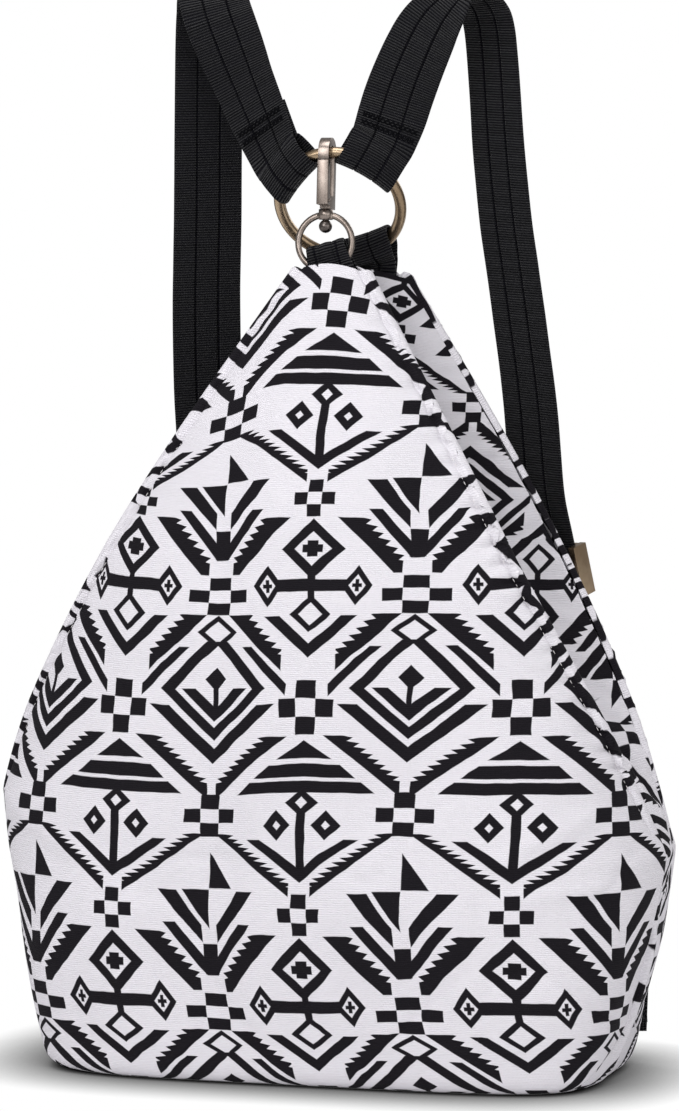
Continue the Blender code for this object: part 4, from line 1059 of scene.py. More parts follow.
@dataclass
class CanvasBody:
    """The printed canvas bag: four panels and a base, with rolled seams, folds and puckers."""

    form: BagForm
    finishes: dict[str, bpy.types.Material]
    rows: int = 210
    low_rows: int = 150
    turn_rows: int = 6
    half_columns: int = 62
    band_columns: int = 14
    side_columns: int = 44
    base_cells: int = 40
    band: float = 0.0074
    roll_rise: float = 0.0022
    side_print: Pair = (1.33, 1.19)
    pucker: float = 0.0008
    left_pucker: float = 0.00028
    side_pucker: float = 0.0012

    def level(self, row: int) -> Level:
        """The row's inset and heights."""
        turn, low = self.turn_rows, self.low_rows
        base = self.form.canvas + self.form.gap
        if row <= turn:
            angle = math.pi / 2 * row / turn
            height = base + self.form.roll * (1 - math.cos(angle))
            return Level(self.form.roll * (1 - math.sin(angle)), height, 0.0)
        start = base + self.form.roll
        if row <= low:
            return Level(0.0, start + (self.form.valley - start) * (row - turn) / (low - turn), 0.0)
        return Level(0.0, self.form.valley, ((row - low) / (self.rows - low)) ** 1.08)

    @property
    def levels(self) -> list[Level]:
        """All rows from the base to the horns."""
        return [self.level(row) for row in range(self.rows + 1)]

    def arc(self, z: float, side: Side) -> float:
        """Fall of a horn's top edge towards its ends."""
        return self.form.horn_arc * ease(share(z, self.form.valley, self.form.horns[side].top))

    def roll_profile(self, edge: float, z: float) -> float:
        """Thickness near a wide panel's edge: flat, a stitched groove, then a round roll."""
        strength = ease(share(z, 0.100, 0.155))
        round_part = math.sqrt(max(0.0, 1 - ((edge - 0.0027) / 0.0029) ** 2))
        groove = math.exp(-(((edge - 0.0063) / 0.0009) ** 2))
        raised = strength * (self.roll_rise * round_part - 0.0008 * groove)
        return self.form.canvas + raised - 0.00015 * (1 - strength) * groove

    def heights_along(self, side: Side) -> list[float]:
        """Length along a panel's middle up to each row."""
        form = self.form
        line = [form.wide_point(side, 0.0, level.height(form, side), level.inset) for level in self.levels]
        steps = [(second - first).length for first, second in zip(line, line[1:])]
        return list(itertools.accumulate(steps, initial=0.0))

    def cloth_noise(self, place: Vector, size: float, seed: float) -> float:
        """Smooth noise, about -1 to 1, whose features have a size in metres."""
        return noise.noise(place / size + Vector((seed, seed * 1.7, 0.0)))

    def half_row(self, side: Side, hand: int, level: Level, length: float) -> list[ClothPoint]:
        """Half a row of a wide panel.

        Args:
            side: Which panel.
            hand: -1 for the left half and 1 for the right one.
            level: The row.
            length: Its distance from the base along the panel's middle.

        Returns:
            Its vertices from the middle to the seam.
        """
        z = level.height(self.form, side)
        folded = self.form.folded(z)

        def curve(u: float) -> Vector:
            """The row's curve from the middle to the seam."""
            return self.form.wide_point(side, hand * max(u, 1e-6), z, level.inset)

        measure = Measure(curve)
        last = measure.total - 0.0002 * (1 - folded) + 0.0012 * folded
        plain = last - self.band
        inner, outer = self.half_columns, self.band_columns
        places = [plain * (step / inner) ** 0.92 for step in range(inner + 1)]
        places += [plain + self.band * step / outer for step in range(1, outer + 1)]
        half = []
        for place in places:
            u = measure.at(place)
            point = curve(u)
            point.z -= self.arc(z, side) * u * u
            flat = print_place(-hand * side.sign * place, length)
            edge = last - place
            half.append(ClothPoint(point, flat, self.roll_profile(edge, z), (edge, 0.0)))
        return half

    def wide_relief(self, side: Side, spot: ClothPoint) -> float:
        """Sag, creases, folds and the puckers beside the ridge seam."""
        place, edge = spot.place, spot.reach[0]
        z = place.z
        free = ease(share(z, 0.004, 0.03)) * ease(share(edge, 0.001, 0.03)) * (1 - ease(share(z, 0.33, 0.37)))
        sag = self.cloth_noise(place, 0.075, 3.0) * 0.0026 + self.cloth_noise(place, 0.030, 7.0) * 0.0009
        creased = abs(self.cloth_noise(Vector((place.x, 0, z * 0.6)), 0.036, 11.0))
        sharp = -0.0009 * math.exp(-((creased / 0.05) ** 2)) * ease(share(0.14 - z, 0.0, 0.05))
        ridge = ease(share(z, 0.125, 0.16)) * math.exp(-((max(0.0, edge - 0.0072) / 0.0075) ** 2))
        wave = math.sin(math.tau * z / 0.0095 + 4.0 * self.cloth_noise(place, 0.03, 5.0))
        puckers = ridge * (edge > 0.0045) * wave * (1.0 + 1.2 * self.cloth_noise(place, 0.045, 15.0))
        puckers *= self.left_pucker if place.x < 0 else self.pucker
        folds = sum(fold.rise(place.x, z) for fold in WIDE_FOLDS[side])
        return free * (sag + sharp) + puckers - 0.0001 + folds

    def wide_panel(self, side: Side) -> bpy.types.Object:
        """Make the front or rear panel."""
        table = []
        for level, length in zip(self.levels, self.heights_along(side)):
            left, right = (self.half_row(side, hand, level, length) for hand in (-1, 1))
            line = left[:0:-1] + right
            table.append(line if side is Side.FRONT else line[::-1])
        panel = Panel(f"{side.value}_panel", self.finishes[side.value])
        panel.add_grid(table, lambda spot: self.wide_relief(side, spot))
        return panel.finished()

    def side_row(self, side: Side, hand: int, level: Level, length: float) -> list[ClothPoint]:
        """Half a row of a side panel.

        Args:
            side: Its front or rear half.
            hand: -1 for the left panel and 1 for the right one.
            level: The row.
            length: Its distance from the base.

        Returns:
            Its vertices from the fold to the seam.
        """
        z = level.height(self.form, side)

        def curve(u: float) -> Vector:
            """The row's curve from the fold to the seam."""
            return self.form.side_point(hand, side, max(u, 1e-6), level)

        measure = Measure(curve)
        last = measure.total - 0.0002 - 0.0009 * self.form.folded(z)
        start = self.form.crease(z, side, hand)
        wide, tall = self.side_print
        line = []
        for step in range(self.side_columns + 1):
            place = last * step / self.side_columns
            u = measure.at(place)
            point = curve(u)
            if step == 0 and level.part == 0.0:
                point.y = 0.0
            point.z -= self.arc(z, side) * u * u
            flat = (side.sign * (place + start) * wide, length * tall)
            line.append(ClothPoint(point, flat, self.form.canvas, (u, measure.total)))
        return line

    def side_relief(self, side: Side, spot: ClothPoint) -> float:
        """The modelled folds, small creases and the puckers under the ridge."""
        u, total = spot.reach
        z = spot.place.z
        rise = 0.0
        for start, end, height, width in SIDE_FOLDS:
            fold = Fold((start[0] * total, start[1]), (end[0] * total, end[1]), height, width)
            rise += fold.rise(side.sign * u * total, z)
        puckers = math.exp(-(((1 - u) * total / 0.010) ** 2)) * ease(share(z, 0.12, 0.17))
        wave = math.sin(math.tau * z / 0.0105 + 4.0 * self.cloth_noise(spot.place, 0.025, 9.0))
        small = self.cloth_noise(spot.place, 0.02, 13.0) * 0.0005
        small += self.cloth_noise(spot.place, 0.05, 17.0) * 0.001
        calm = ease(share(z, 0.004, 0.03)) * (1 - ease(share(z, 0.30, 0.35)))
        return ease((1 - u) / 0.15) * (rise + calm * (small + self.side_pucker * puckers * wave))

    def side_panel(self, name: str, hand: int) -> bpy.types.Object:
        """Make a side panel from its front and rear half, which part above the mouth's lowest point."""
        levels = self.levels
        panel = Panel(f"{name}_side_panel", self.finishes[name])
        for side in Side:
            outwards = (side is Side.REAR) == (hand > 0)
            fold = 0 if outwards else self.side_columns
            table = []
            for level, length in zip(levels, self.heights_along(Side.FRONT)):
                line = self.side_row(side, hand, level, length)
                table.append(line if outwards else line[::-1])

            def held(column: int, row: int, first: int = fold) -> Vector | None:
                """The shared vertices of the two halves rise straight outwards."""
                return Vector((hand, 0, 0)) if column == first and levels[row].part == 0.0 else None

            panel.add_grid(table, lambda spot, side=side: self.side_relief(side, spot), held)
        return panel.finished()

    def base_point(self, column: int, row: int) -> ClothPoint:
        """A vertex of the bottom: a square grid stretched over the outline."""
        inset = self.form.roll + 3 * self.form.gap
        a, b = 2 * column / self.base_cells - 1, 2 * row / self.base_cells - 1
        side = Side.REAR if b > 0 else Side.FRONT
        hand = 1 if a > 0 else -1
        wide, deep, power, _ = self.form.section(self.form.canvas + self.form.gap, side, hand, inset)
        across, out = self.form.oval(wide, deep, power, math.atan2(abs(a), abs(b) + 1e-9))
        size = max(abs(a), abs(b))
        spot = Vector((math.copysign(across * size, a), math.copysign(out * size, b), 0.0003))
        return ClothPoint(spot, (spot.x, spot.y), self.form.canvas)

    def base(self) -> bpy.types.Object:
        """Make the flat bottom."""
        cells = range(self.base_cells + 1)
        panel = Panel("base_panel", self.finishes["base"])
        table = [[self.base_point(column, row) for column in cells] for row in cells]
        panel.add_grid(table, lambda spot: 0.0)
        return panel.finished()

    def build(self) -> list[bpy.types.Object]:
        """Make the five panels."""
        made = [self.wide_panel(side) for side in Side]
        made += [self.side_panel("left", -1), self.side_panel("right", 1), self.base()]
        return made


# Each side fold: start and end as (share of the half row, height), then how high and how wide it is
SIDE_FOLDS = (
    ((-0.90, 0.150), (-0.30, 0.128), 0.0028, 0.0070),
    ((-0.70, 0.172), (0.10, 0.140), -0.0035, 0.0080),
    ((-0.35, 0.186), (0.45, 0.160), 0.0035, 0.0080),
    ((0.95, 0.158), (0.35, 0.132), 0.0014, 0.0070),
    ((-0.82, 0.262), (-0.62, 0.205), 0.0030, 0.0060),
    ((0.85, 0.250), (0.60, 0.212), 0.0030, 0.0065),
    ((-0.80, 0.062), (-0.55, 0.020), 0.0030, 0.0060),
)

WIDE_FOLDS = {
    Side.FRONT: (
        Fold((0.128, 0.128), (0.098, 0.112), 0.0012, 0.0045),
        Fold((0.140, 0.098), (0.108, 0.094), 0.0010, 0.0040),
        Fold((-0.140, 0.120), (-0.112, 0.108), 0.0010, 0.0045),
    ),
    Side.REAR: (
        Fold((0.120, 0.130), (0.080, 0.105), 0.0012, 0.0060),
        Fold((-0.120, 0.125), (-0.085, 0.100), 0.0012, 0.0060),
    ),
}


@dataclass(frozen=True)
class Station:
    """A place along a strip: its middle, direction across, width and the bulge of its middle."""

    place: Vector
    across: Vector
    width: float
    bulge: Vector


def stations_of(name: str, bend: float = 1.0) -> list[Station]:
    """Read a strip's stations from its table.

    Args:
        name: Name of the strip.
        bend: How much of the middle's bulge is taken over.

    Returns:
        The stations. What a row leaves out at its end is as in the row before.
    """
    stations, row = [], ()
    for values in STATIONS[name]:
        row = (*values, *row[len(values) :])
        bulge = Vector([part * bend for part in row[7:]])
        stations.append(Station(Vector(row[:3]) / 1000, Vector(row[3:6]), row[6] / 1000, bulge / 1000))
    return stations


def spline(t: float, before: float, first: float, second: float, after: float) -> float:
    """Value at a share of the way between the middle two of four numbers, on a smooth curve."""
    square = 2 * before - 5 * first + 4 * second - after
    cube = 3 * first - before - 3 * second + after
    return (2 * first + (second - before) * t + square * t**2 + cube * t**3) / 2


def curve_through(values: Sequence[Sequence[float]], step: float) -> list[list[float]]:
    """Smooth rows through rows whose first three values are a place.

    Args:
        values: The rows.
        step: Distance between the new rows.

    Returns:
        The new rows.
    """
    ends = [values[0], *values, values[-1]]
    rows = []
    for four in zip(ends, ends[1:], ends[2:], ends[3:]):
        count = max(1, round(math.dist(four[1][:3], four[2][:3]) / step))
        for part in range(count):
            rows.append([spline(part / count, *numbers) for numbers in zip(*four)])
    rows.append(list(values[-1]))
    return rows


def strip_rows(stations: Sequence[Station], step: float) -> list[list[float]]:
    """Smooth rows through stations: place, direction across, width and bulge."""
    return curve_through([[*s.place, *s.across, s.width, *s.bulge] for s in stations], step)


@dataclass
class Strip:
    """A flat woven strip with rounded selvedges, along a row of stations."""

    name: str
    stations: Sequence[Station]
    finish: bpy.types.Material
    thickness: float = 0.0016
    grooves: Sequence[float] = (-1 / 3, 1 / 3)
    step: float = 0.0014
    ripple: float = 0.00012
    pleat: float = 0.0

    def profile(self) -> list[tuple[float, float]]:
        """The closed section: places across from -1 to 1, and heights from -1 to 1."""
        places = [-1.0, -0.992, -0.97, -0.93, -0.86, -0.75, -0.62, -0.5, -0.42]
        heights = [0.0, 0.5, 0.82, 0.97, 1.0, 1.0, 1.0, 1.0, 1.0]
        for groove in self.grooves:
            places += [groove - 0.035, groove - 0.014, groove, groove + 0.014, groove + 0.035]
            heights += [0.98, 0.66, 0.40, 0.66, 0.98]
        places += [-0.24, -0.12, 0.0, 0.12, 0.24, 0.42, 0.5, 0.62, 0.75, 0.86, 0.93, 0.97, 0.992]
        heights += [1.0] * 10 + [0.97, 0.82, 0.5]
        half = sorted(zip(places, heights))
        under = [(-across, -height) for across, height in half]
        return half + under

    def build(self) -> bpy.types.Object:
        """Make the strip.

        Returns:
            The strip, closed and laid out on its cloth.
        """
        section = self.profile()
        rows = strip_rows(self.stations, self.step)
        item, spots = grid(self.name, len(section), len(rows) - 1)
        lengths = [0.0]
        for first, second in zip(rows, rows[1:]):
            lengths.append(lengths[-1] + math.dist(first[:3], second[:3]))
        frames = []
        for index, row in enumerate(rows):
            before, after = rows[max(index - 1, 0)], rows[min(index + 1, len(rows) - 1)]
            ahead = (Vector(after[:3]) - Vector(before[:3])).normalized()
            across = Vector(row[3:6])
            across = (across - ahead * across.dot(ahead)).normalized()
            frames.append((Vector(row[:3]), across, across.cross(ahead), row[6], Vector(row[7:])))
        flats = []
        for vertex, (column, index) in zip(item.data.vertices, spots):
            across_share, height = section[column % len(section)]
            middle, across, face, width, bulge = frames[index]
            run = lengths[index]
            waver = self.ripple * noise.noise(Vector((run * 45, across_share * 0.6, 3.7)))
            edge = self.ripple * 2 * noise.noise(Vector((run * 30, math.copysign(9.0, across_share), 1.3)))
            lay = across * (across_share * (width + edge) / 2) + bulge * (1 - across_share**2)
            pleat = self.pleat * math.cos(across_share * 8.5)
            vertex.co = middle + lay + face * (height * self.thickness / 2 + waver * 2 + pleat)
            flats.append((across_share * width / 2, run))
        lay_out(item, flats)
        activate(item)
        bpy.ops.object.mode_set(mode="EDIT")
        bpy.ops.mesh.select_all(action="SELECT")
        bpy.ops.mesh.remove_doubles(threshold=0.00001)
        bpy.ops.mesh.select_all(action="DESELECT")
        bpy.ops.mesh.select_non_manifold()
        bpy.ops.mesh.fill_holes(sides=0)
        bpy.ops.mesh.select_all(action="SELECT")
        bpy.ops.mesh.normals_make_consistent(inside=False)
        bpy.ops.object.mode_set(mode="OBJECT")
        item.data.materials.append(self.finish)
        smooth(item, 75)
        return item


@dataclass(frozen=True)
class Repeated:
    """Many small copies of one shape, as one mesh."""

    name: str
    finish: bpy.types.Material

    def build(self, unit: bpy.types.Object, places: Sequence[Matrix]) -> bpy.types.Object:
        """Copy the shape to each place and join the copies.

        Args:
            unit: The shape, which is used up.
            places: Where each copy goes.

        Returns:
            The joined copies.
        """
        corners = [vertex.co.copy() for vertex in unit.data.vertices]
        faces = [tuple(face.vertices) for face in unit.data.polygons]
        points = [place @ corner for place in places for corner in corners]
        starts = range(0, len(places) * len(corners), len(corners))
        loops = [tuple(start + index for index in face) for start in starts for face in faces]
        mesh = bpy.data.meshes.new(self.name)
        mesh.from_pydata(points, [], loops)
        old = unit.data
        unit.data = mesh
        unit.name = self.name
        bpy.data.meshes.remove(old)
        mesh.materials.append(self.finish)
        smooth(unit, 80)
        return unit


def stitch_unit(length: float, radius: float) -> bpy.types.Object:
    """One stitch: a short bulging bar along X."""
    deselect()
    bpy.ops.mesh.primitive_uv_sphere_add(segments=8, ring_count=6, radius=1.0, rotation=(0, math.pi / 2, 0))
    item = named("stitch")
    item.scale = (radius, radius, length / 2)
    settle(item)
    return item


def aimed(place: Vector, along: Vector, face: Vector) -> Matrix:
    """Matrix that lays a stitch along one direction, on a face with a normal."""
    first = along.normalized()
    third = (face - first * face.dot(first)).normalized()
    return Matrix.Translation(place) @ Matrix((first, third.cross(first), third)).transposed().to_4x4()


@dataclass
class Harness:
    """All the black webbing: shoulder straps, their tails, and the tabs at the horns and lower corners."""

    webbing: bpy.types.Material
    thread: bpy.types.Material
    pleat: float = 0.00018
    stand: float = 0.00082
    step: float = 0.001

    def build(self) -> list[bpy.types.Object]:
        """Make each strip from its table, and sew the loops.

        Returns:
            The strips and the stitching.
        """
        made = []
        for name in STATIONS:
            stations = stations_of(name, SHOWN_BENDS.get(name, 1.0))
            pleat = self.pleat if name == "front_tab" else 0.0
            item = Strip(name + "_webbing", stations, self.webbing, pleat=pleat).build()
            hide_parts(name)
            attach(item, "bag")
            if name.endswith("tail"):
                low = min(stations, key=lambda one: one.place.z).place
                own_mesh(item)
                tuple(low)
            made.append(item)
        made += [self.strap_sewing(side) for side in ("left", "right")]
        made.append(self.tab_sewing())
        return made

    def seam(
        self, row: list[float], ahead: Vector, count: int, spread: float, tilts: Sequence[float]
    ) -> list[Matrix]:
        """Stitches across a strip, on both its faces.

        Args:
            row: The strip's row that is sewn.
            ahead: Direction along the strip.
            count: Number of places across.
            spread: Part of the width that they take.
            tilts: How much each stitch at a place leans ahead.

        Returns:
            Where each stitch goes.
        """
        middle, across = Vector(row[:3]), Vector(row[3:6]).normalized()
        face = across.cross(ahead).normalized()
        places = []
        for index in range(count):
            place = middle + across * (row[6] * (spread * (index + 0.5) / count - spread / 2))
            for sign in (-1, 1):
                spot = place + face * (sign * self.stand)
                places += [aimed(spot, across + ahead * tilt, face * sign) for tilt in tilts]
        return places

    def strap_sewing(self, side: str) -> bpy.types.Object:
        """The zigzag seam that closes a strap's loop on the ring, through both layers."""
        rows = strip_rows(stations_of(f"{side}_strap"), self.step)
        places = []
        for line in (0.0040, 0.0078):
            free = self.row_at(rows, line)
            for row, ahead in (free, self.row_beside(rows, free[0])):
                places += self.seam(row, ahead, 11, 0.86, (-1.1, 1.1))
        return self.sewn(f"{side}_strap_sewing", stitch_unit(0.0036, 0.00042), places)

    def tab_sewing(self) -> bpy.types.Object:
        """The straight seams that close the tabs' loops below the rings."""
        places = []
        for name, distance in (("rear_tab", 0.008), ("front_tab", 0.004)):
            row, ahead = self.row_at(strip_rows(stations_of(name), self.step), distance)
            places += self.seam(row, ahead, 8, 0.84, (0.0,))
        return self.sewn("tab_sewing", stitch_unit(0.0024, 0.0003), places)

    def sewn(self, name: str, unit: bpy.types.Object, places: list[Matrix]) -> bpy.types.Object:
        """Stitches that stay with the webbing."""
        item = Repeated(name, self.thread).build(unit, places)
        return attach(item, "bag")

    def row_beside(self, rows: list[list[float]], row: list[float]) -> tuple[list[float], Vector]:
        """The main layer's row that lies against a row of the returned layer, and its direction."""
        best = min(range(51, len(rows) - 1), key=lambda index: math.dist(rows[index][:3], row[:3]))
        return rows[best], (Vector(rows[best + 1][:3]) - Vector(rows[best][:3])).normalized()

    def row_at(self, rows: list[list[float]], distance: float) -> tuple[list[float], Vector]:
        """Row at a distance along a strip, and the direction ahead there."""
        run = 0.0
        for first, second in zip(rows, rows[1:]):
            run += math.dist(first[:3], second[:3])
            if run >= distance:
                break
        return first, (Vector(second[:3]) - Vector(first[:3])).normalized()


# How much of the bulge each loop shows, where its lower edge is straighter than the ring
SHOWN_BENDS = {"left_strap": 0.25, "rear_tab": 0.25, "right_strap": 0.45}

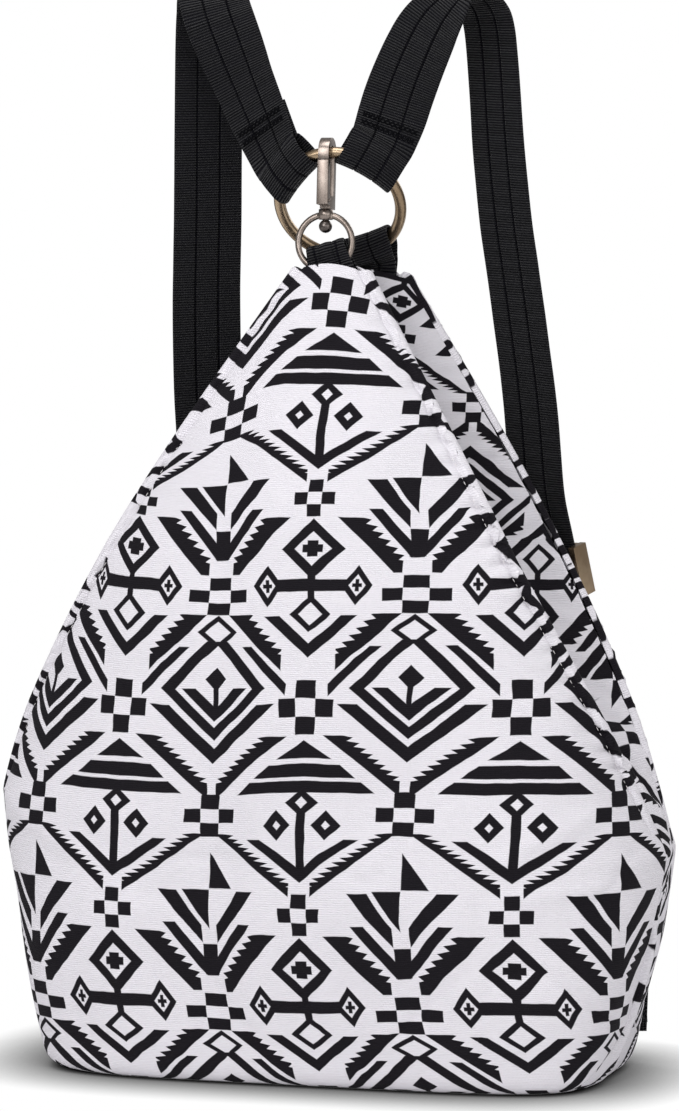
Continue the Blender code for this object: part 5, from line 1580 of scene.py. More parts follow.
# Webbing stations, in millimetres: middle, direction across, width, and the bulge of the middle. What a row
# leaves out at its end is as in the row before
STATIONS = {
    "left_strap": (
        (-40.05, 7.38, 441.79, 0.82, -0.257, 0.511, 32.0, 0.0, 0.0, 0.0),
        (-30.97, 3.79, 426.5, 0.751, -0.342, 0.565, 30.3, -0.56, -0.26, 0.41),
        (-27.92, 4.53, 424.01, 0.646, -0.299, 0.702, 29.7, -1.75, -0.81, 1.26),
        (-25.15, 5.04, 421.68, 0.646, -0.299, 0.702, 29.2, -2.69, -1.25, 1.95),
        (-22.94, 4.97, 419.62, 0.646, -0.299, 0.702, 29.0, -3.03, -1.4, 2.19), (-20.98, 4.58, 417.65),
        (-19.1, 4.2, 415.75), (-17.76, 3.35, 414.16), (-17.15, 1.64, 412.86), (-17.41, -0.49, 412.2),
        (-18.48, -2.46, 412.35), (-20.08, -3.73, 413.27), (-21.77, -3.98, 414.72), (-23.66, -3.6, 416.62),
        (-25.61, -3.21, 418.58), (-27.59, -2.44, 420.74, 0.646, -0.299, 0.702, 29.2, -2.69, -1.25, 1.95),
        (-29.71, -0.95, 423.32, 0.646, -0.299, 0.702, 29.7, -1.75, -0.81, 1.26),
        (-32.24, 0.9, 426.44, 0.751, -0.342, 0.565, 30.3, -0.56, -0.26, 0.41),
        (-40.68, 5.59, 441.91, 0.82, -0.257, 0.511, 32.0, 0.0, 0.0, 0.0),
        (-48.85, 9.54, 457.95, 0.872, -0.152, 0.465), (-53.08, 10.4, 467.27, 0.911, -0.02, 0.412),
        (-55.99, 10.52, 474.35, 0.914, 0.093, 0.395), (-59.07, 11.17, 481.5, 0.9, 0.205, 0.384),
        (-61.89, 12.63, 487.69, 0.894, 0.32, 0.313), (-64.59, 15.93, 493.19, 0.892, 0.402, 0.205),
        (-67.09, 20.34, 496.22, 0.896, 0.434, 0.096), (-69.12, 25.22, 494.13, 0.889, 0.441, 0.123),
        (-70.48, 29.2, 488.7, 0.874, 0.481, 0.07), (-71.4, 31.25, 481.53, 0.875, 0.484, 0.008),
        (-72.0, 32.3, 470.32, 0.881, 0.474, -0.007), (-72.29, 32.48, 451.53, 0.886, 0.463),
        (-72.6, 32.84, 430.06, 0.889, 0.457, 0.003), (-73.28, 34.72, 410.09, 0.892, 0.451, 0.014),
        (-74.22, 37.34, 390.14, 0.896, 0.443, 0.012), (-75.5, 40.31, 370.48, 0.901, 0.434, 0.011),
        (-76.83, 43.84, 350.18, 0.906, 0.422, 0.027), (-77.91, 48.23, 327.75, 0.912, 0.409, 0.042),
        (-78.71, 52.7, 305.15, 0.917, 0.396, 0.057), (-78.8, 56.63, 284.12, 0.917, 0.396, 0.058),
        (-79.4, 60.31, 263.98, 0.913, 0.407, -0.002), (-82.45, 63.77, 244.81, 0.905, 0.42, -0.068),
        (-85.43, 67.16, 226.0, 0.904, 0.422, -0.076), (-88.45, 70.59, 207.0, 0.905, 0.42, -0.068),
        (-91.46, 74.02, 188.02, 0.907, 0.419, -0.055), (-94.58, 77.56, 168.38, 0.905, 0.42, -0.068),
        (-97.5, 80.9, 149.84, 0.891, 0.408, -0.199), (-101.27, 77.23, 134.78, 0.883, 0.334, -0.329),
        (-104.84, 72.53, 121.54, 0.889, 0.361, -0.283), (-107.29, 71.27, 108.4, 0.898, 0.403, -0.178),
        (-109.22, 71.02, 96.18, 0.9, 0.408, -0.151), (-110.91, 70.82, 85.62, 0.9, 0.409, -0.15),
        (-112.43, 70.73, 76.13, 0.898, 0.409, -0.162), (-114.11, 70.48, 66.9, 0.899, 0.399, -0.181),
        (-115.55, 70.13, 59.17, 0.901, 0.39, -0.189), (-116.31, 69.65, 54.63, 0.9, 0.39, -0.195),
        (-116.83, 69.12, 51.25, 0.899, 0.389, -0.2), (-116.89, 68.58, 50.17, 0.9, 0.39, -0.195),
        (-116.63, 67.49, 49.2), (-116.11, 66.15, 48.9), (-115.47, 64.89, 49.34), (-114.88, 64.07, 50.42),
        (-114.5, 63.9, 51.83), (-113.71, 64.53, 56.73), (-112.92, 65.16, 61.63),
    ),
    "left_strap_tail": (
        (-85.44, 66.34, 220.77, 0.905, 0.42, -0.068, 32.0, 0.0, 0.0, 0.0), (-84.36, 65.11, 227.58),
        (-84.05, 64.61, 228.67), (-83.56, 63.68, 229.33), (-83.04, 62.55, 229.37), (-82.61, 61.54, 228.79),
        (-82.4, 60.91, 227.74), (-82.46, 60.84, 226.5), (-84.0, 62.59, 216.78), (-85.85, 64.7, 205.11),
        (-87.7, 66.8, 193.44), (-89.58, 68.93, 181.65), (-91.41, 71.02, 170.11, 0.909, 0.415, -0.044),
        (-92.82, 73.7, 159.63, 0.905, 0.42, -0.068), (-94.8, 74.88, 148.72, 0.874, 0.409, -0.262),
        (-98.89, 71.32, 135.61, 0.864, 0.343, -0.367), (-103.08, 67.09, 121.94, 0.884, 0.367, -0.29),
        (-105.56, 65.88, 108.37, 0.899, 0.403, -0.17), (-107.31, 65.62, 96.14, 0.902, 0.408, -0.145),
        (-108.71, 65.41, 87.38, 0.9, 0.409, -0.149), (-109.86, 65.43, 80.14, 0.9, 0.413, -0.14),
        (-111.12, 65.62, 72.53, 0.905, 0.402), (-112.14, 65.77, 66.43, 0.908, 0.39, -0.153),
        (-112.56, 65.57, 63.85, 0.9, 0.39, -0.195), (-112.78, 65.27, 62.51, 0.895, 0.383, -0.228),
    ),
    "left_lower_tab": (
        (-119.61, 56.19, 12.5, 0.9, 0.39, -0.195, 30.0, 0.0, 0.0, 0.0), (-119.54, 57.38, 18.56),
        (-119.5, 58.07, 22.61), (-116.64, 62.21, 38.61), (-116.57, 62.74, 39.99), (-116.83, 63.82, 40.96),
        (-117.35, 65.17, 41.26), (-117.99, 66.42, 40.81), (-118.58, 67.24, 39.73), (-118.96, 67.41, 38.32),
        (-120.42, 59.55, 21.33), (-120.49, 58.82, 17.26), (-120.58, 57.78, 12.17),
    ),
    "right_strap": (
        (22.8, 7.95, 442.66, 0.895, 0.288, -0.34, 31.8, 0.0, 0.0, 0.0),
        (19.82, 5.03, 433.21, 0.833, 0.37, -0.413, 30.3, 0.45, -0.24, 0.54),
        (17.51, 5.65, 430.05, 0.792, 0.335, -0.511, 29.7, 1.39, -0.73, 1.68),
        (15.43, 6.04, 427.07, 0.792, 0.335, -0.511, 29.2, 2.15, -1.13, 2.59),
        (13.84, 5.88, 424.5, 0.792, 0.335, -0.511, 29.0, 2.42, -1.27, 2.91), (12.49, 5.41, 422.1),
        (11.18, 4.95, 419.78), (10.35, 4.05, 417.9), (10.18, 2.31, 416.49), (10.71, 0.2, 415.93),
        (11.8, -1.71, 416.37), (13.16, -2.91, 417.69), (14.42, -3.08, 419.53), (15.73, -2.63, 421.85),
        (17.08, -2.15, 424.26), (18.39, -1.3, 426.85, 0.792, 0.335, -0.511, 29.2, 2.15, -1.13, 2.59),
        (19.69, 0.27, 429.88, 0.792, 0.335, -0.511, 29.7, 1.39, -0.73, 1.68),
        (21.25, 2.24, 433.6, 0.833, 0.37, -0.413, 30.3, 0.45, -0.24, 0.54),
        (23.51, 6.24, 443.06, 0.895, 0.288, -0.34, 31.8, 0.0, 0.0, 0.0),
        (26.06, 9.55, 453.31, 0.929, 0.165, -0.332, 32.0), (29.84, 10.85, 463.81, 0.926, 0.032, -0.376),
        (34.1, 11.52, 473.86, 0.905, -0.089, -0.416), (38.26, 12.08, 482.43, 0.856, -0.229, -0.464),
        (42.72, 13.13, 489.67, 0.765, -0.438, -0.472), (48.02, 15.71, 495.86, 0.651, -0.676, -0.346),
        (53.33, 19.45, 499.22, 0.608, -0.792, 0.058), (57.85, 24.13, 497.3, 0.794, -0.577, 0.192),
        (61.29, 28.21, 491.75, 0.867, -0.481, 0.131), (63.18, 30.2, 484.18, 0.884, -0.462, 0.067),
        (64.39, 31.31, 472.36, 0.885, -0.464, 0.043), (65.66, 31.98, 452.51, 0.888, -0.458, 0.037),
        (66.92, 32.85, 430.08, 0.893, -0.45, 0.027), (68.32, 34.79, 409.98, 0.898, -0.44, 0.018),
        (69.9, 37.35, 390.15, 0.901, -0.434, 0.02), (71.86, 40.31, 370.49, 0.904, -0.427, 0.021),
        (73.89, 43.84, 350.19, 0.908, -0.418, 0.004), (75.73, 48.35, 327.76, 0.912, -0.41, -0.011),
        (77.31, 52.7, 305.14, 0.915, -0.404, -0.016), (78.2, 55.71, 284.09, 0.914, -0.405, -0.01),
        (79.4, 58.46, 263.97, 0.911, -0.412, 0.028), (82.45, 61.93, 244.81, 0.905, -0.42, 0.067),
        (85.43, 65.34, 226.0, 0.904, -0.421, 0.073), (88.45, 68.79, 207.0, 0.905, -0.42, 0.067),
        (91.46, 72.23, 188.01, 0.907, -0.418, 0.055), (94.58, 75.8, 168.33, 0.905, -0.42, 0.067),
        (97.5, 79.15, 149.85, 0.889, -0.41, 0.203), (101.42, 75.7, 135.31, 0.878, -0.337, 0.34),
        (105.08, 71.44, 122.5, 0.888, -0.376, 0.263), (107.34, 71.13, 108.97, 0.902, -0.412, 0.13),
        (109.04, 71.74, 96.2, 0.903, -0.412, 0.119), (110.67, 71.66, 85.53, 0.9, -0.409, 0.149),
        (112.22, 71.45, 76.06, 0.897, -0.408, 0.171), (113.99, 71.14, 66.83, 0.897, -0.398, 0.192),
        (115.52, 70.74, 59.12, 0.9, -0.389, 0.198), (116.29, 70.23, 54.58, 0.9, -0.389, 0.197),
        (116.8, 69.69, 51.2, 0.9, -0.389, 0.198), (116.86, 69.14, 50.12, 0.9, -0.389, 0.197),
        (116.6, 68.06, 49.16), (116.08, 66.71, 48.86), (115.44, 65.46, 49.32), (114.85, 64.64, 50.4),
        (114.47, 64.48, 51.81), (113.68, 65.12, 56.71), (112.89, 65.77, 61.6),
    ),
    "right_strap_tail": (
        (85.44, 64.52, 220.77, 0.905, -0.42, 0.067, 32.0, 0.0, 0.0, 0.0), (84.36, 63.29, 227.57),
        (84.05, 62.79, 228.67), (83.56, 61.86, 229.33), (83.04, 60.73, 229.37), (82.61, 59.72, 228.79),
        (82.4, 59.09, 227.74), (82.46, 59.02, 226.5), (84.0, 60.78, 216.78), (85.85, 62.9, 205.11),
        (87.7, 65.01, 193.44), (89.58, 67.15, 181.66), (91.41, 69.24, 170.11, 0.909, -0.415, 0.044),
        (92.81, 71.89, 159.61, 0.905, -0.42, 0.067), (94.8, 73.12, 148.72, 0.873, -0.412, 0.261),
        (98.95, 69.82, 135.81, 0.861, -0.351, 0.367), (103.18, 66.07, 122.31, 0.883, -0.382, 0.272),
        (105.58, 65.76, 108.57, 0.901, -0.412, 0.136), (107.24, 66.32, 96.14, 0.903, -0.412, 0.121),
        (108.62, 66.21, 87.35, 0.9, -0.409, 0.148), (109.78, 66.12, 80.12, 0.899, -0.412, 0.146),
        (111.07, 66.28, 72.5, 0.904, -0.401, 0.145), (112.11, 66.41, 66.4, 0.907, -0.389, 0.157),
        (112.54, 66.2, 63.83, 0.9, -0.389, 0.197), (112.75, 65.89, 62.48, 0.896, -0.382, 0.228),
    ),
    "right_lower_tab": (
        (119.57, 56.48, 12.45, 0.9, -0.389, 0.197, 30.0, 0.0, 0.0, 0.0), (119.49, 57.77, 18.52),
        (119.44, 58.52, 22.57), (116.61, 62.73, 38.6), (116.54, 63.26, 39.97), (116.8, 64.35, 40.93),
        (117.31, 65.7, 41.23), (117.95, 66.95, 40.78), (118.54, 67.76, 39.7), (118.92, 67.93, 38.28),
        (120.32, 60.0, 21.27), (120.4, 59.21, 17.19), (120.51, 58.09, 12.1),
    ),
    "rear_tab": (
        (7.0, 21.55, 361.01, 0.991, -0.002, -0.133, 26.0, 0.0, 0.0, 0.0),
        (7.46, 21.6, 364.55, 0.991, -0.014), (7.93, 21.64, 368.06, 0.994, -0.022, -0.112),
        (8.18, 21.55, 370.92, 0.999, -0.019, -0.039),
        (8.13, 20.75, 372.52, 0.993, -0.024, 0.112, 27.2, 0.19, 0.29, -0.54),
        (7.9, 19.33, 373.31, 0.968, -0.054, 0.246, 28.0, 0.58, 0.88, -1.61),
        (7.47, 17.49, 374.47, 0.958, -0.06, 0.279, 28.9, 1.08, 1.63, -2.99),
        (6.83, 16.07, 376.33, 0.952, -0.066, 0.3, 30.1, 1.39, 2.11, -3.86),
        (6.05, 15.46, 378.54, 0.947, -0.071, 0.315, 31.0), (5.27, 14.85, 380.74), (4.49, 14.87, 383.11),
        (3.89, 16.13, 385.18), (3.65, 18.29, 386.39), (3.82, 20.77, 386.43), (4.36, 22.92, 385.29),
        (5.13, 24.15, 383.26), (5.91, 24.76, 381.05), (6.69, 25.36, 378.85, 0.952, -0.066, 0.3, 30.1),
        (7.3, 25.05, 376.7, 0.958, -0.06, 0.279, 28.9, 1.08, 1.63, -2.99),
        (7.76, 24.19, 374.94, 0.968, -0.054, 0.246, 28.0, 0.58, 0.88, -1.61),
        (8.12, 23.65, 373.2, 0.993, -0.024, 0.112, 27.2, 0.19, 0.29, -0.54),
        (8.22, 23.45, 371.08, 0.999, -0.019, -0.039, 26.0, 0.0, 0.0, 0.0),
        (7.97, 23.54, 368.07, 0.994, -0.022, -0.112), (7.49, 23.5, 364.52, 0.991, -0.014, -0.133),
        (7.0, 23.45, 360.99, 0.991, -0.002),
    ),
    "front_tab": (
        (3.07, -15.95, 360.98, 0.987, 0.076, 0.14, 23.5, 0.0, 0.0, 0.0), (2.71, -16.02, 363.57),
        (2.35, -16.3, 366.29, 0.988, 0.077, 0.134), (2.01, -17.61, 369.63, 0.987, 0.076, 0.14),
        (1.49, -17.93, 372.99, 0.978, 0.065, 0.198, 22.5),
        (0.78, -17.56, 375.41, 0.954, 0.07, 0.293, 21.7),
        (0.15, -17.12, 377.14, 0.948, 0.074, 0.309, 21.1),
        (-0.36, -16.8, 378.75, 0.954, 0.07, 0.293, 20.4),
        (-0.88, -16.48, 380.35, 0.954, 0.07, 0.293, 19.8),
        (-1.41, -16.15, 381.99, 0.954, 0.07, 0.293, 19.2),
        (-1.93, -15.82, 383.63, 0.954, 0.07, 0.293, 18.6), (-2.33, -15.24, 384.77),
        (-2.62, -14.13, 385.47), (-2.74, -12.79, 385.54), (-2.65, -11.58, 384.95), (-2.38, -10.83, 383.87),
        (-1.99, -10.73, 382.59), (-1.46, -11.06, 380.95, 0.954, 0.07, 0.293, 19.2),
        (-0.94, -11.38, 379.32, 0.954, 0.07, 0.293, 19.8),
        (-0.42, -11.71, 377.71, 0.954, 0.07, 0.293, 20.4),
        (0.14, -12.05, 375.98, 0.948, 0.074, 0.309, 21.1),
        (0.73, -12.47, 374.37, 0.954, 0.07, 0.293, 21.7),
        (1.21, -12.75, 372.65, 0.978, 0.065, 0.198, 22.5),
        (1.65, -12.99, 369.71, 0.987, 0.076, 0.14, 23.5), (2.16, -14.0, 366.35, 0.988, 0.077, 0.134),
        (2.56, -14.13, 363.6, 0.987, 0.076, 0.14), (2.93, -14.05, 361.02),
    ),
}


@dataclass
class Metalwork:
    """The rings, the swivel snap hook, the sliders and the zip's metal."""

    frame: dict
    finishes: dict[str, bpy.types.Material]

    def carried(self, node: str, body: str, finish: str, bevel: float, segments: int) -> bpy.types.Object:
        """Carry a CAD node over with rounded edges.

        Args:
            node: Its name.
            body: The body it moves with.
            finish: Name of its finish.
            bevel: Width of the rounded edges.
            segments: Faces across a rounded edge.

        Returns:
            The new piece.
        """
        source = self.frame["nodes"][node]
        item = source.copy()
        item.data = source.data.copy()
        item.parent = None
        item.matrix_world = Matrix.Identity(4)
        for key in list(item.keys()):
            del item[key]
        bpy.context.scene.collection.objects.link(item)
        item.name = node + "_metal"
        item.hide_render = False
        item.hide_viewport = False
        outward(item)
        if bevel:
            modifier = item.modifiers.new("rounded edges", "BEVEL")
            modifier.width = bevel
            modifier.segments = segments
            modifier.limit_method = "ANGLE"
            modifier.angle_limit = math.radians(32)
            modifier.harden_normals = False
            apply_modifiers(item)
        item.data.materials.clear()
        item.data.materials.append(self.finishes[finish])
        smooth(item, 42)
        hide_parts(node)
        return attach(item, body)

    def large_ring(self) -> bpy.types.Object:
        """The large ring of round wire, through both straps, the rear tab and the hook."""
        across, up = Vector((0.995725, 0.092371, 0.0)), Vector((0.041935, -0.45205, 0.891007))
        deselect()
        bpy.ops.mesh.primitive_torus_add(
            location=(-0.001949, 0.008667, 0.401875),
            rotation=Matrix((across, up, across.cross(up))).transposed().to_euler(),
            major_segments=168,
            minor_segments=28,
            major_radius=0.02835,
            minor_radius=0.00265,
        )
        item = named("large_ring_metal")
        settle(item)
        smooth(item, 60)
        item.data.materials.append(self.finishes["antique brass"])
        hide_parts("large_ring")
        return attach(item, "ring")

    def build(self) -> list[bpy.types.Object]:
        """Make every metal piece."""
        return [self.large_ring(), *(self.carried(*row) for row in FITTINGS)]


# Metal carried over from the solids: node, body, finish, width of its rounded edges and faces across them
FITTINGS = (
    ("snap_eye", "bag", "gunmetal", 0.0, 3),
    ("swivel_stud", "hook", "dark gunmetal", 0.0003, 3),
    ("snap_hook", "hook", "gunmetal", 0.0004, 3),
    ("gate_pin", "hook", "gunmetal", 0.0001, 2),
    ("snap_gate", "gate", "gunmetal", 0.0003, 3),
    ("gate_spring", "gate", "spring steel", 0.0, 3),
    ("left_strap_slider", "left_slider", "antique brass", 0.00035, 3),
    ("left_square_ring", "bag", "antique brass", 0.0, 3),
    ("right_strap_slider", "right_slider", "antique brass", 0.00035, 3),
    ("right_square_ring", "bag", "antique brass", 0.0, 3),
    ("zip_slider", "zip", "antique brass", 0.00025, 3),
    ("zip_pull", "pull", "antique brass", 0.0002, 3),
    ("zip_top_stop", "bag", "antique brass", 0.00025, 3),
    ("zip_bottom_stop", "bag", "antique brass", 0.00025, 3),
)


@dataclass
class MouthZip:
    """The cloth tapes and nylon coils of the mouth's zip."""

    form: BagForm
    tape: bpy.types.Material
    coil: bpy.types.Material
    coil_gap: float = 0.0005
    coil_width: float = 0.0013
    coil_height: float = 0.0021
    coil_radius: float = 0.00078
    coil_wire: float = 0.0003
    pitch: float = 0.0011

    def path(self, drop: float) -> list[Vector]:
        """Middle line from the front leg's top, round the turn, to the rear leg's top."""
        form = self.form
        turns = [form.zip_turn * (1 - math.cos(math.radians(turn))) for turn in (90, 72, 54, 36, 18, 0)]
        line = []
        for side in Side:
            top = form.horns[side].top - drop
            heights = [top + (form.valley + form.zip_turn - top) * step / 3 for step in range(3)]
            heights += [form.valley + rise for rise in turns]
            leg = [Vector((form.lean(z, side), form.zip_line(z, side) * side.sign, z)) for z in heights]
            line += leg if side is Side.FRONT else leg[-2::-1]
        return line

    def strip(self, name: str, hand: int) -> bpy.types.Object:
        """One side's tape."""
        low, high = self.coil_gap + self.coil_width + 0.0002, self.form.zip_opening - 0.0004
        shift, across = Vector((hand * (low + high) / 2, 0, 0)), Vector((1, 0, 0))
        path = self.path(self.form.zip_end - 0.003)
        stations = [Station(spot + shift, across, high - low, Vector()) for spot in path]
        item = Strip(f"{name}_zip_tape_cloth", stations, self.tape, 0.0008, (), 0.002, 0.00002).build()
        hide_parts(f"zip_tape_{name}")
        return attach(item, "bag")

    def teeth(self, name: str, hand: int) -> bpy.types.Object:
        """One side's coil, as a row of small loops."""
        rows = curve_through([list(spot) for spot in self.path(self.form.zip_end)], self.pitch)
        across = Vector((1, 0, 0))
        aside = across * (hand * (self.coil_gap + self.coil_width / 2))
        places = []
        for first, second in zip(rows, rows[1:]):
            ahead = (Vector(second) - Vector(first)).normalized()
            turn = Matrix((across, across.cross(ahead), ahead)).transposed().to_4x4()
            places.append(Matrix.Translation((Vector(first) + Vector(second)) / 2 + aside) @ turn)
        deselect()
        bpy.ops.mesh.primitive_torus_add(
            major_segments=10,
            minor_segments=5,
            major_radius=self.coil_radius,
            minor_radius=self.coil_wire,
        )
        unit = named("coil loop")
        whole = 2 * (self.coil_radius + self.coil_wire)
        unit.scale = (self.coil_width / whole, self.coil_height / whole, 1.0)
        settle(unit)
        item = Repeated(f"{name}_zip_coil_loops", self.coil).build(unit, places)
        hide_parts(f"zip_coil_{name}")
        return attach(item, "bag")

    def build(self) -> list[bpy.types.Object]:
        """Make both tapes and both coils."""
        made = []
        for name, hand in (("left", -1), ("right", 1)):
            made += [self.strip(name, hand), self.teeth(name, hand)]
        return made


@dataclass
class SeamStitching:
    """Thread in the groove beside the bag's rolled seams."""

    body: CanvasBody
    thread: bpy.types.Material
    inset: float = 0.0063
    pitch: float = 0.0031
    start: float = 0.125
    stand: float = 0.0007

    def line(self, side: Side, hand: int) -> list[list[float]]:
        """Places and normals along one seam's groove, from the belly to the horn."""
        form = self.body.form
        spots = []
        for step in range(90):
            z = self.start + (form.horns[side].top - 0.006 - self.start) * step / 89

            def curve(u: float, z: float = z) -> Vector:
                """The row's curve from the middle to the seam."""
                return form.wide_point(side, hand * max(u, 1e-6), z, 0.0)

            measure = Measure(curve)
            u = measure.at(measure.total + 0.0012 * form.folded(z) - self.inset)
            point, beside = curve(u), curve(u - 0.01)
            point.z -= self.body.arc(z, side) * u * u
            higher = form.wide_point(side, hand * u, z + 0.002, 0.0)
            normal = (point - beside).cross(higher - point).normalized()
            if normal.y * side.sign < 0:
                normal = -normal
            spots.append([*(point + normal * self.stand), *normal])
        return spots

    def build(self) -> list[bpy.types.Object]:
        """Sew along the four seams."""
        places = []
        for side, hand in itertools.product(Side, (-1, 1)):
            rows = curve_through(self.line(side, hand), self.pitch)
            for first, second in zip(rows, rows[1:]):
                low, high = Vector(first[:3]), Vector(second[:3])
                places.append(aimed((low + high) / 2, high - low, Vector(first[3:])))
        item = Repeated("seam_topstitching", self.thread).build(stitch_unit(0.0020, 0.00018), places)
        return [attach(item, "bag")]


@dataclass
class Studio:
    """A pale floor, soft lamps and the camera at the photograph's angle."""

    azimuth: float = 16.0
    elevation: float = 8.0
    distance: float = 6.0
    pixels_per_metre: float = 2150.0
    photo: tuple[int, int] = (679, 1111)
    origin: tuple[int, int] = (339, 1065)
    sensor: float = 36.0

    def axes(self) -> tuple[Vector, Vector, Vector]:
        """The picture's directions: right, up and towards the camera."""
        azimuth, elevation = math.radians(self.azimuth), math.radians(self.elevation)
        right = Vector((math.cos(azimuth), math.sin(azimuth), 0.0))
        ahead = Vector((math.sin(azimuth), -math.cos(azimuth), 0.0))
        towards = ahead * math.cos(elevation) + Vector((0.0, 0.0, math.sin(elevation)))
        return right, towards.cross(right), towards

    def camera(self) -> None:
        """Make the camera."""
        right, up, towards = self.axes()
        middle = right * ((self.photo[0] / 2 - self.origin[0]) / self.pixels_per_metre)
        middle += up * ((self.origin[1] - self.photo[1] / 2) / self.pixels_per_metre)
        deselect()
        bpy.ops.object.camera_add()
        item = bpy.context.active_object
        item.name = "camera"
        item.data.sensor_width = self.sensor
        item.data.lens = self.sensor * self.distance / (self.photo[1] / self.pixels_per_metre)
        item.data.clip_start = 0.1
        item.data.clip_end = 100.0
        turn = Matrix((right, up, towards)).transposed().to_4x4()
        item.matrix_world = Matrix.Translation(middle + towards * self.distance) @ turn
        bpy.context.scene.camera = item

    def lamp(self, name: str, offset: Colour, size: float, watts: float) -> None:
        """Hang an area lamp that looks at the bag.

        Args:
            name: Its name.
            offset: Its place to the right, upwards and towards the camera, in metres.
            size: Its width.
            watts: Its power.
        """
        right, up, towards = self.axes()
        aim = Vector((0, 0, 0.25))
        place = aim + right * offset[0] + up * offset[1] + towards * offset[2]
        deselect()
        bpy.ops.object.light_add(type="AREA", location=place)
        item = bpy.context.active_object
        item.name = name
        item.data.energy = watts
        item.data.size = size
        item.rotation_euler = (place - aim).to_track_quat("Z", "Y").to_euler()

    def floor(self) -> None:
        """Lay a pale floor that the camera sees as a white glow, with a painted contact shadow where ambient
        occlusion dims the glow.
        """
        deselect()
        bpy.ops.mesh.primitive_plane_add(size=3.4)
        item = named("studio_floor")
        material = bpy.data.materials.new("studio_floor")
        material.use_nodes = True
        nodes = Nodes(material.node_tree)
        shader = material.node_tree.nodes["Principled BSDF"]
        shader.inputs["Base Color"].default_value = (0.86, 0.86, 0.86, 1)
        shader.inputs["Roughness"].default_value = 0.9
        shader.inputs["Specular IOR Level"].default_value = 0.0
        # Painted contact shadow: ambient occlusion near the bag dims the glow that the camera sees
        near = nodes.add("AmbientOcclusion", samples=16)
        near.inputs["Distance"].default_value = 0.045
        unshaded = nodes.signal(near.outputs["AO"])
        glow = nodes.add("Emission")
        nodes.link((unshaded * unshaded).clamped(), glow.inputs["Strength"])
        nodes.camera_only(shader.outputs[0], glow.outputs[0])
        item.data.materials.append(material)

    def sky(self) -> None:
        """A white background for the camera and a dimmer one for light."""
        world = bpy.data.worlds.new("studio")
        bpy.context.scene.world = world
        world.use_nodes = True
        nodes = Nodes(world.node_tree)
        dim = world.node_tree.nodes["Background"]
        dim.inputs["Color"].default_value = (1, 1, 1, 1)
        dim.inputs["Strength"].default_value = 0.42
        white = nodes.add("Background")
        white.inputs["Strength"].default_value = 1.0
        white.inputs["Color"].default_value = (1, 1, 1, 1)
        nodes.camera_only(dim.outputs[0], white.outputs[0])

    def build(self) -> None:
        """Set up the whole studio."""
        scene = bpy.context.scene
        scene.view_settings.view_transform = "Standard"
        self.floor()
        self.sky()
        for row in LAMPS:
            self.lamp(*row)
        self.camera()


LAMPS = (
    ("key", (-1.5, 1.3, 2.4), 1.5, 44.0),
    ("fill", (1.9, 0.4, 2.2), 2.0, 20.0),
    ("front", (0.1, 0.6, 3.0), 1.6, 14.0),
    ("top", (-0.3, 2.1, 0.7), 1.2, 24.0),
    ("rim", (1.6, 1.2, -1.8), 1.2, 12.0),
)

# Metals: bright and patina colour, wear, and how smooth and how rough they are
METALS = {
    "antique brass": ((0.50, 0.385, 0.265), (0.27, 0.195, 0.125), 0.6, 0.27, 0.38),
    "gunmetal": ((0.42, 0.365, 0.325), (0.20, 0.165, 0.145), 0.5, 0.25, 0.38),
    "dark gunmetal": ((0.26, 0.23, 0.21), (0.06, 0.05, 0.047), 0.7, 0.22, 0.36),
    "spring steel": ((0.62, 0.62, 0.64), (0.40, 0.40, 0.42), 0.5, 0.22, 0.35),
}

# Coils and threads: dark and light colour, roughness and shine
MOULDED = {
    "zip coil": ((0.012, 0.012, 0.013), (0.028, 0.027, 0.03), 0.38, 0.5),
    "black thread": ((0.0005, 0.0005, 0.001), (0.002, 0.002, 0.003), 0.7, 0.05),
    "pale thread": ((0.60, 0.57, 0.58), (0.80, 0.77, 0.78), 0.6, 0.5),
}


def make_finishes() -> dict[str, bpy.types.Material]:
    """Make every finish by its name."""
    build_shared_groups()
    return {
        "front": Canvas("printed canvas front", shift=4.5, drop=372.1).build(),
        "rear": Canvas("printed canvas rear", shift=-6.0, drop=403.0).build(),
        "left": Canvas("printed canvas left side", shift=30.0, drop=150.0, turned=True).build(),
        "right": Canvas("printed canvas right side", shift=25.0, drop=140.0, turned=True).build(),
        "base": Canvas("plain canvas", printed=False).build(),
        "webbing": RibbedWebbing().build(),
        "zip tape": PlainWeave("zip tape", (0.012, 0.012, 0.014), (0.035, 0.034, 0.038)).build(),
        **{name: Moulded(name, *values).build() for name, values in MOULDED.items()},
        **{name: AgedMetal(name, *values).build() for name, values in METALS.items()},
    }


# Where the print lies on the wide panels, in metres: across, along the middle, its lean, and its rise at
# three heights
PRINT_ACROSS = (
    (-0.3, -0.3225), (-0.131, -0.1455), (-0.1055, -0.1172), (-0.0865, -0.0955), (-0.064, -0.0722),
    (-0.0385, -0.0455), (-0.0175, -0.0186), (0.0045, 0.0045), (0.0265, 0.0268), (0.053, 0.0545),
    (0.081, 0.0823), (0.1042, 0.1045), (0.157, 0.1557), (0.3, 0.2905),
)
PRINT_ALONG = (
    (0.0, 0.0001), (0.0115, 0.0145), (0.0289, 0.0362), (0.0421, 0.0498), (0.0601, 0.0669),
    (0.0857, 0.0908), (0.1158, 0.1164), (0.1389, 0.1385), (0.1826, 0.1825), (0.2055, 0.2049),
    (0.2255, 0.2266), (0.2387, 0.2402), (0.2554, 0.2573), (0.2783, 0.2812), (0.3268, 0.3289),
    (0.3707, 0.3729), (0.4, 0.4019),
)
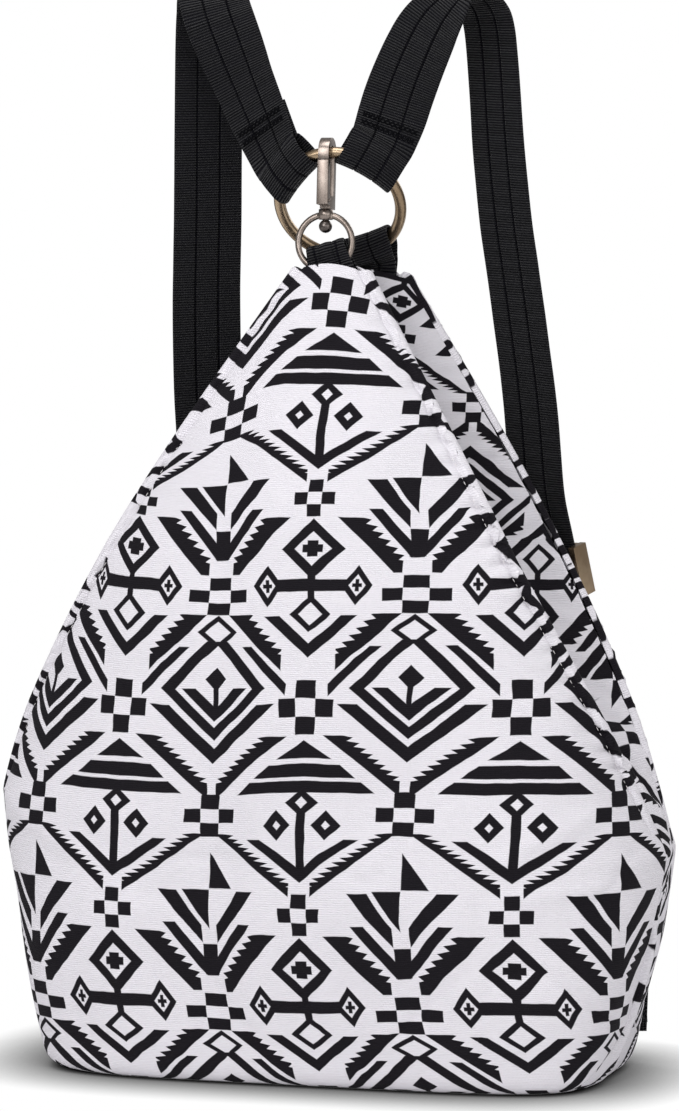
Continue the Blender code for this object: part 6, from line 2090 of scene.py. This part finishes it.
PRINT_LEAN = (
    (0.0, 0.0075), (0.0115, 0.005), (0.029, 0.0018), (0.042, -0.0002), (0.06, -0.002), (0.086, -0.003),
    (0.139, -0.0008), (0.183, 0.0008), (0.226, 0.0018), (0.255, 0.0018), (0.2785, 0.0008), (0.3266, 0.002),
    (0.3705, 0.0027), (0.4, 0.003),
)
LOW_ARCH = (
    (-0.3, -0.002), (-0.128, -0.0008), (-0.04, -0.0003), (0.003, 0.0), (0.052, 0.0028), (0.103, 0.0031),
    (0.176, 0.001), (0.3, -0.002),
)
HIGH_ARCH = (
    (-0.3, -0.008), (-0.135, -0.0048), (-0.087, -0.0042), (-0.038, -0.0033), (0.003, 0.0), (0.053, 0.0012),
    (0.104, 0.001), (0.176, -0.002), (0.3, -0.006),
)
TOP_ARCH = (
    (-0.06, -0.015), (-0.039, -0.009), (-0.029, -0.0047), (-0.0245, -0.0025), (-0.0195, -0.0012),
    (-0.014, -0.0003), (-0.006, 0.0), (0.04, 0.0007), (0.06, 0.0012),
)


def print_place(across: float, along: float) -> Pair:
    """Where a place on a wide panel lies on the print's own cloth."""
    rise = between(LOW_ARCH, across)
    for arch, start, end in ((HIGH_ARCH, 0.06, 0.15), (TOP_ARCH, 0.26, 0.31)):
        rise += (between(arch, across) - rise) * ease(share(along, start, end))
    upright = across - between(PRINT_LEAN, along)
    return between(PRINT_ACROSS, upright), between(PRINT_ALONG, along - rise)


def main() -> None:
    """Build the scene piece by piece."""
    logging.basicConfig(level=logging.INFO, format="%(message)s")
    bpy.ops.object.select_all(action="SELECT")
    bpy.ops.object.delete()
    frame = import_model()
    form = BagForm()
    finishes = make_finishes()
    body = CanvasBody(form, finishes)
    builders = (
        body,
        Harness(finishes["webbing"], finishes["black thread"]),
        Metalwork(frame, finishes),
        MouthZip(form, finishes["zip tape"], finishes["zip coil"]),
        SeamStitching(body, finishes["pale thread"]),
    )
    for builder in builders:
        for item in builder.build():
            LOG.info("%s: %d faces", item.name, len(item.data.polygons))
    Studio().build()


if __name__ == "__main__":
    main()
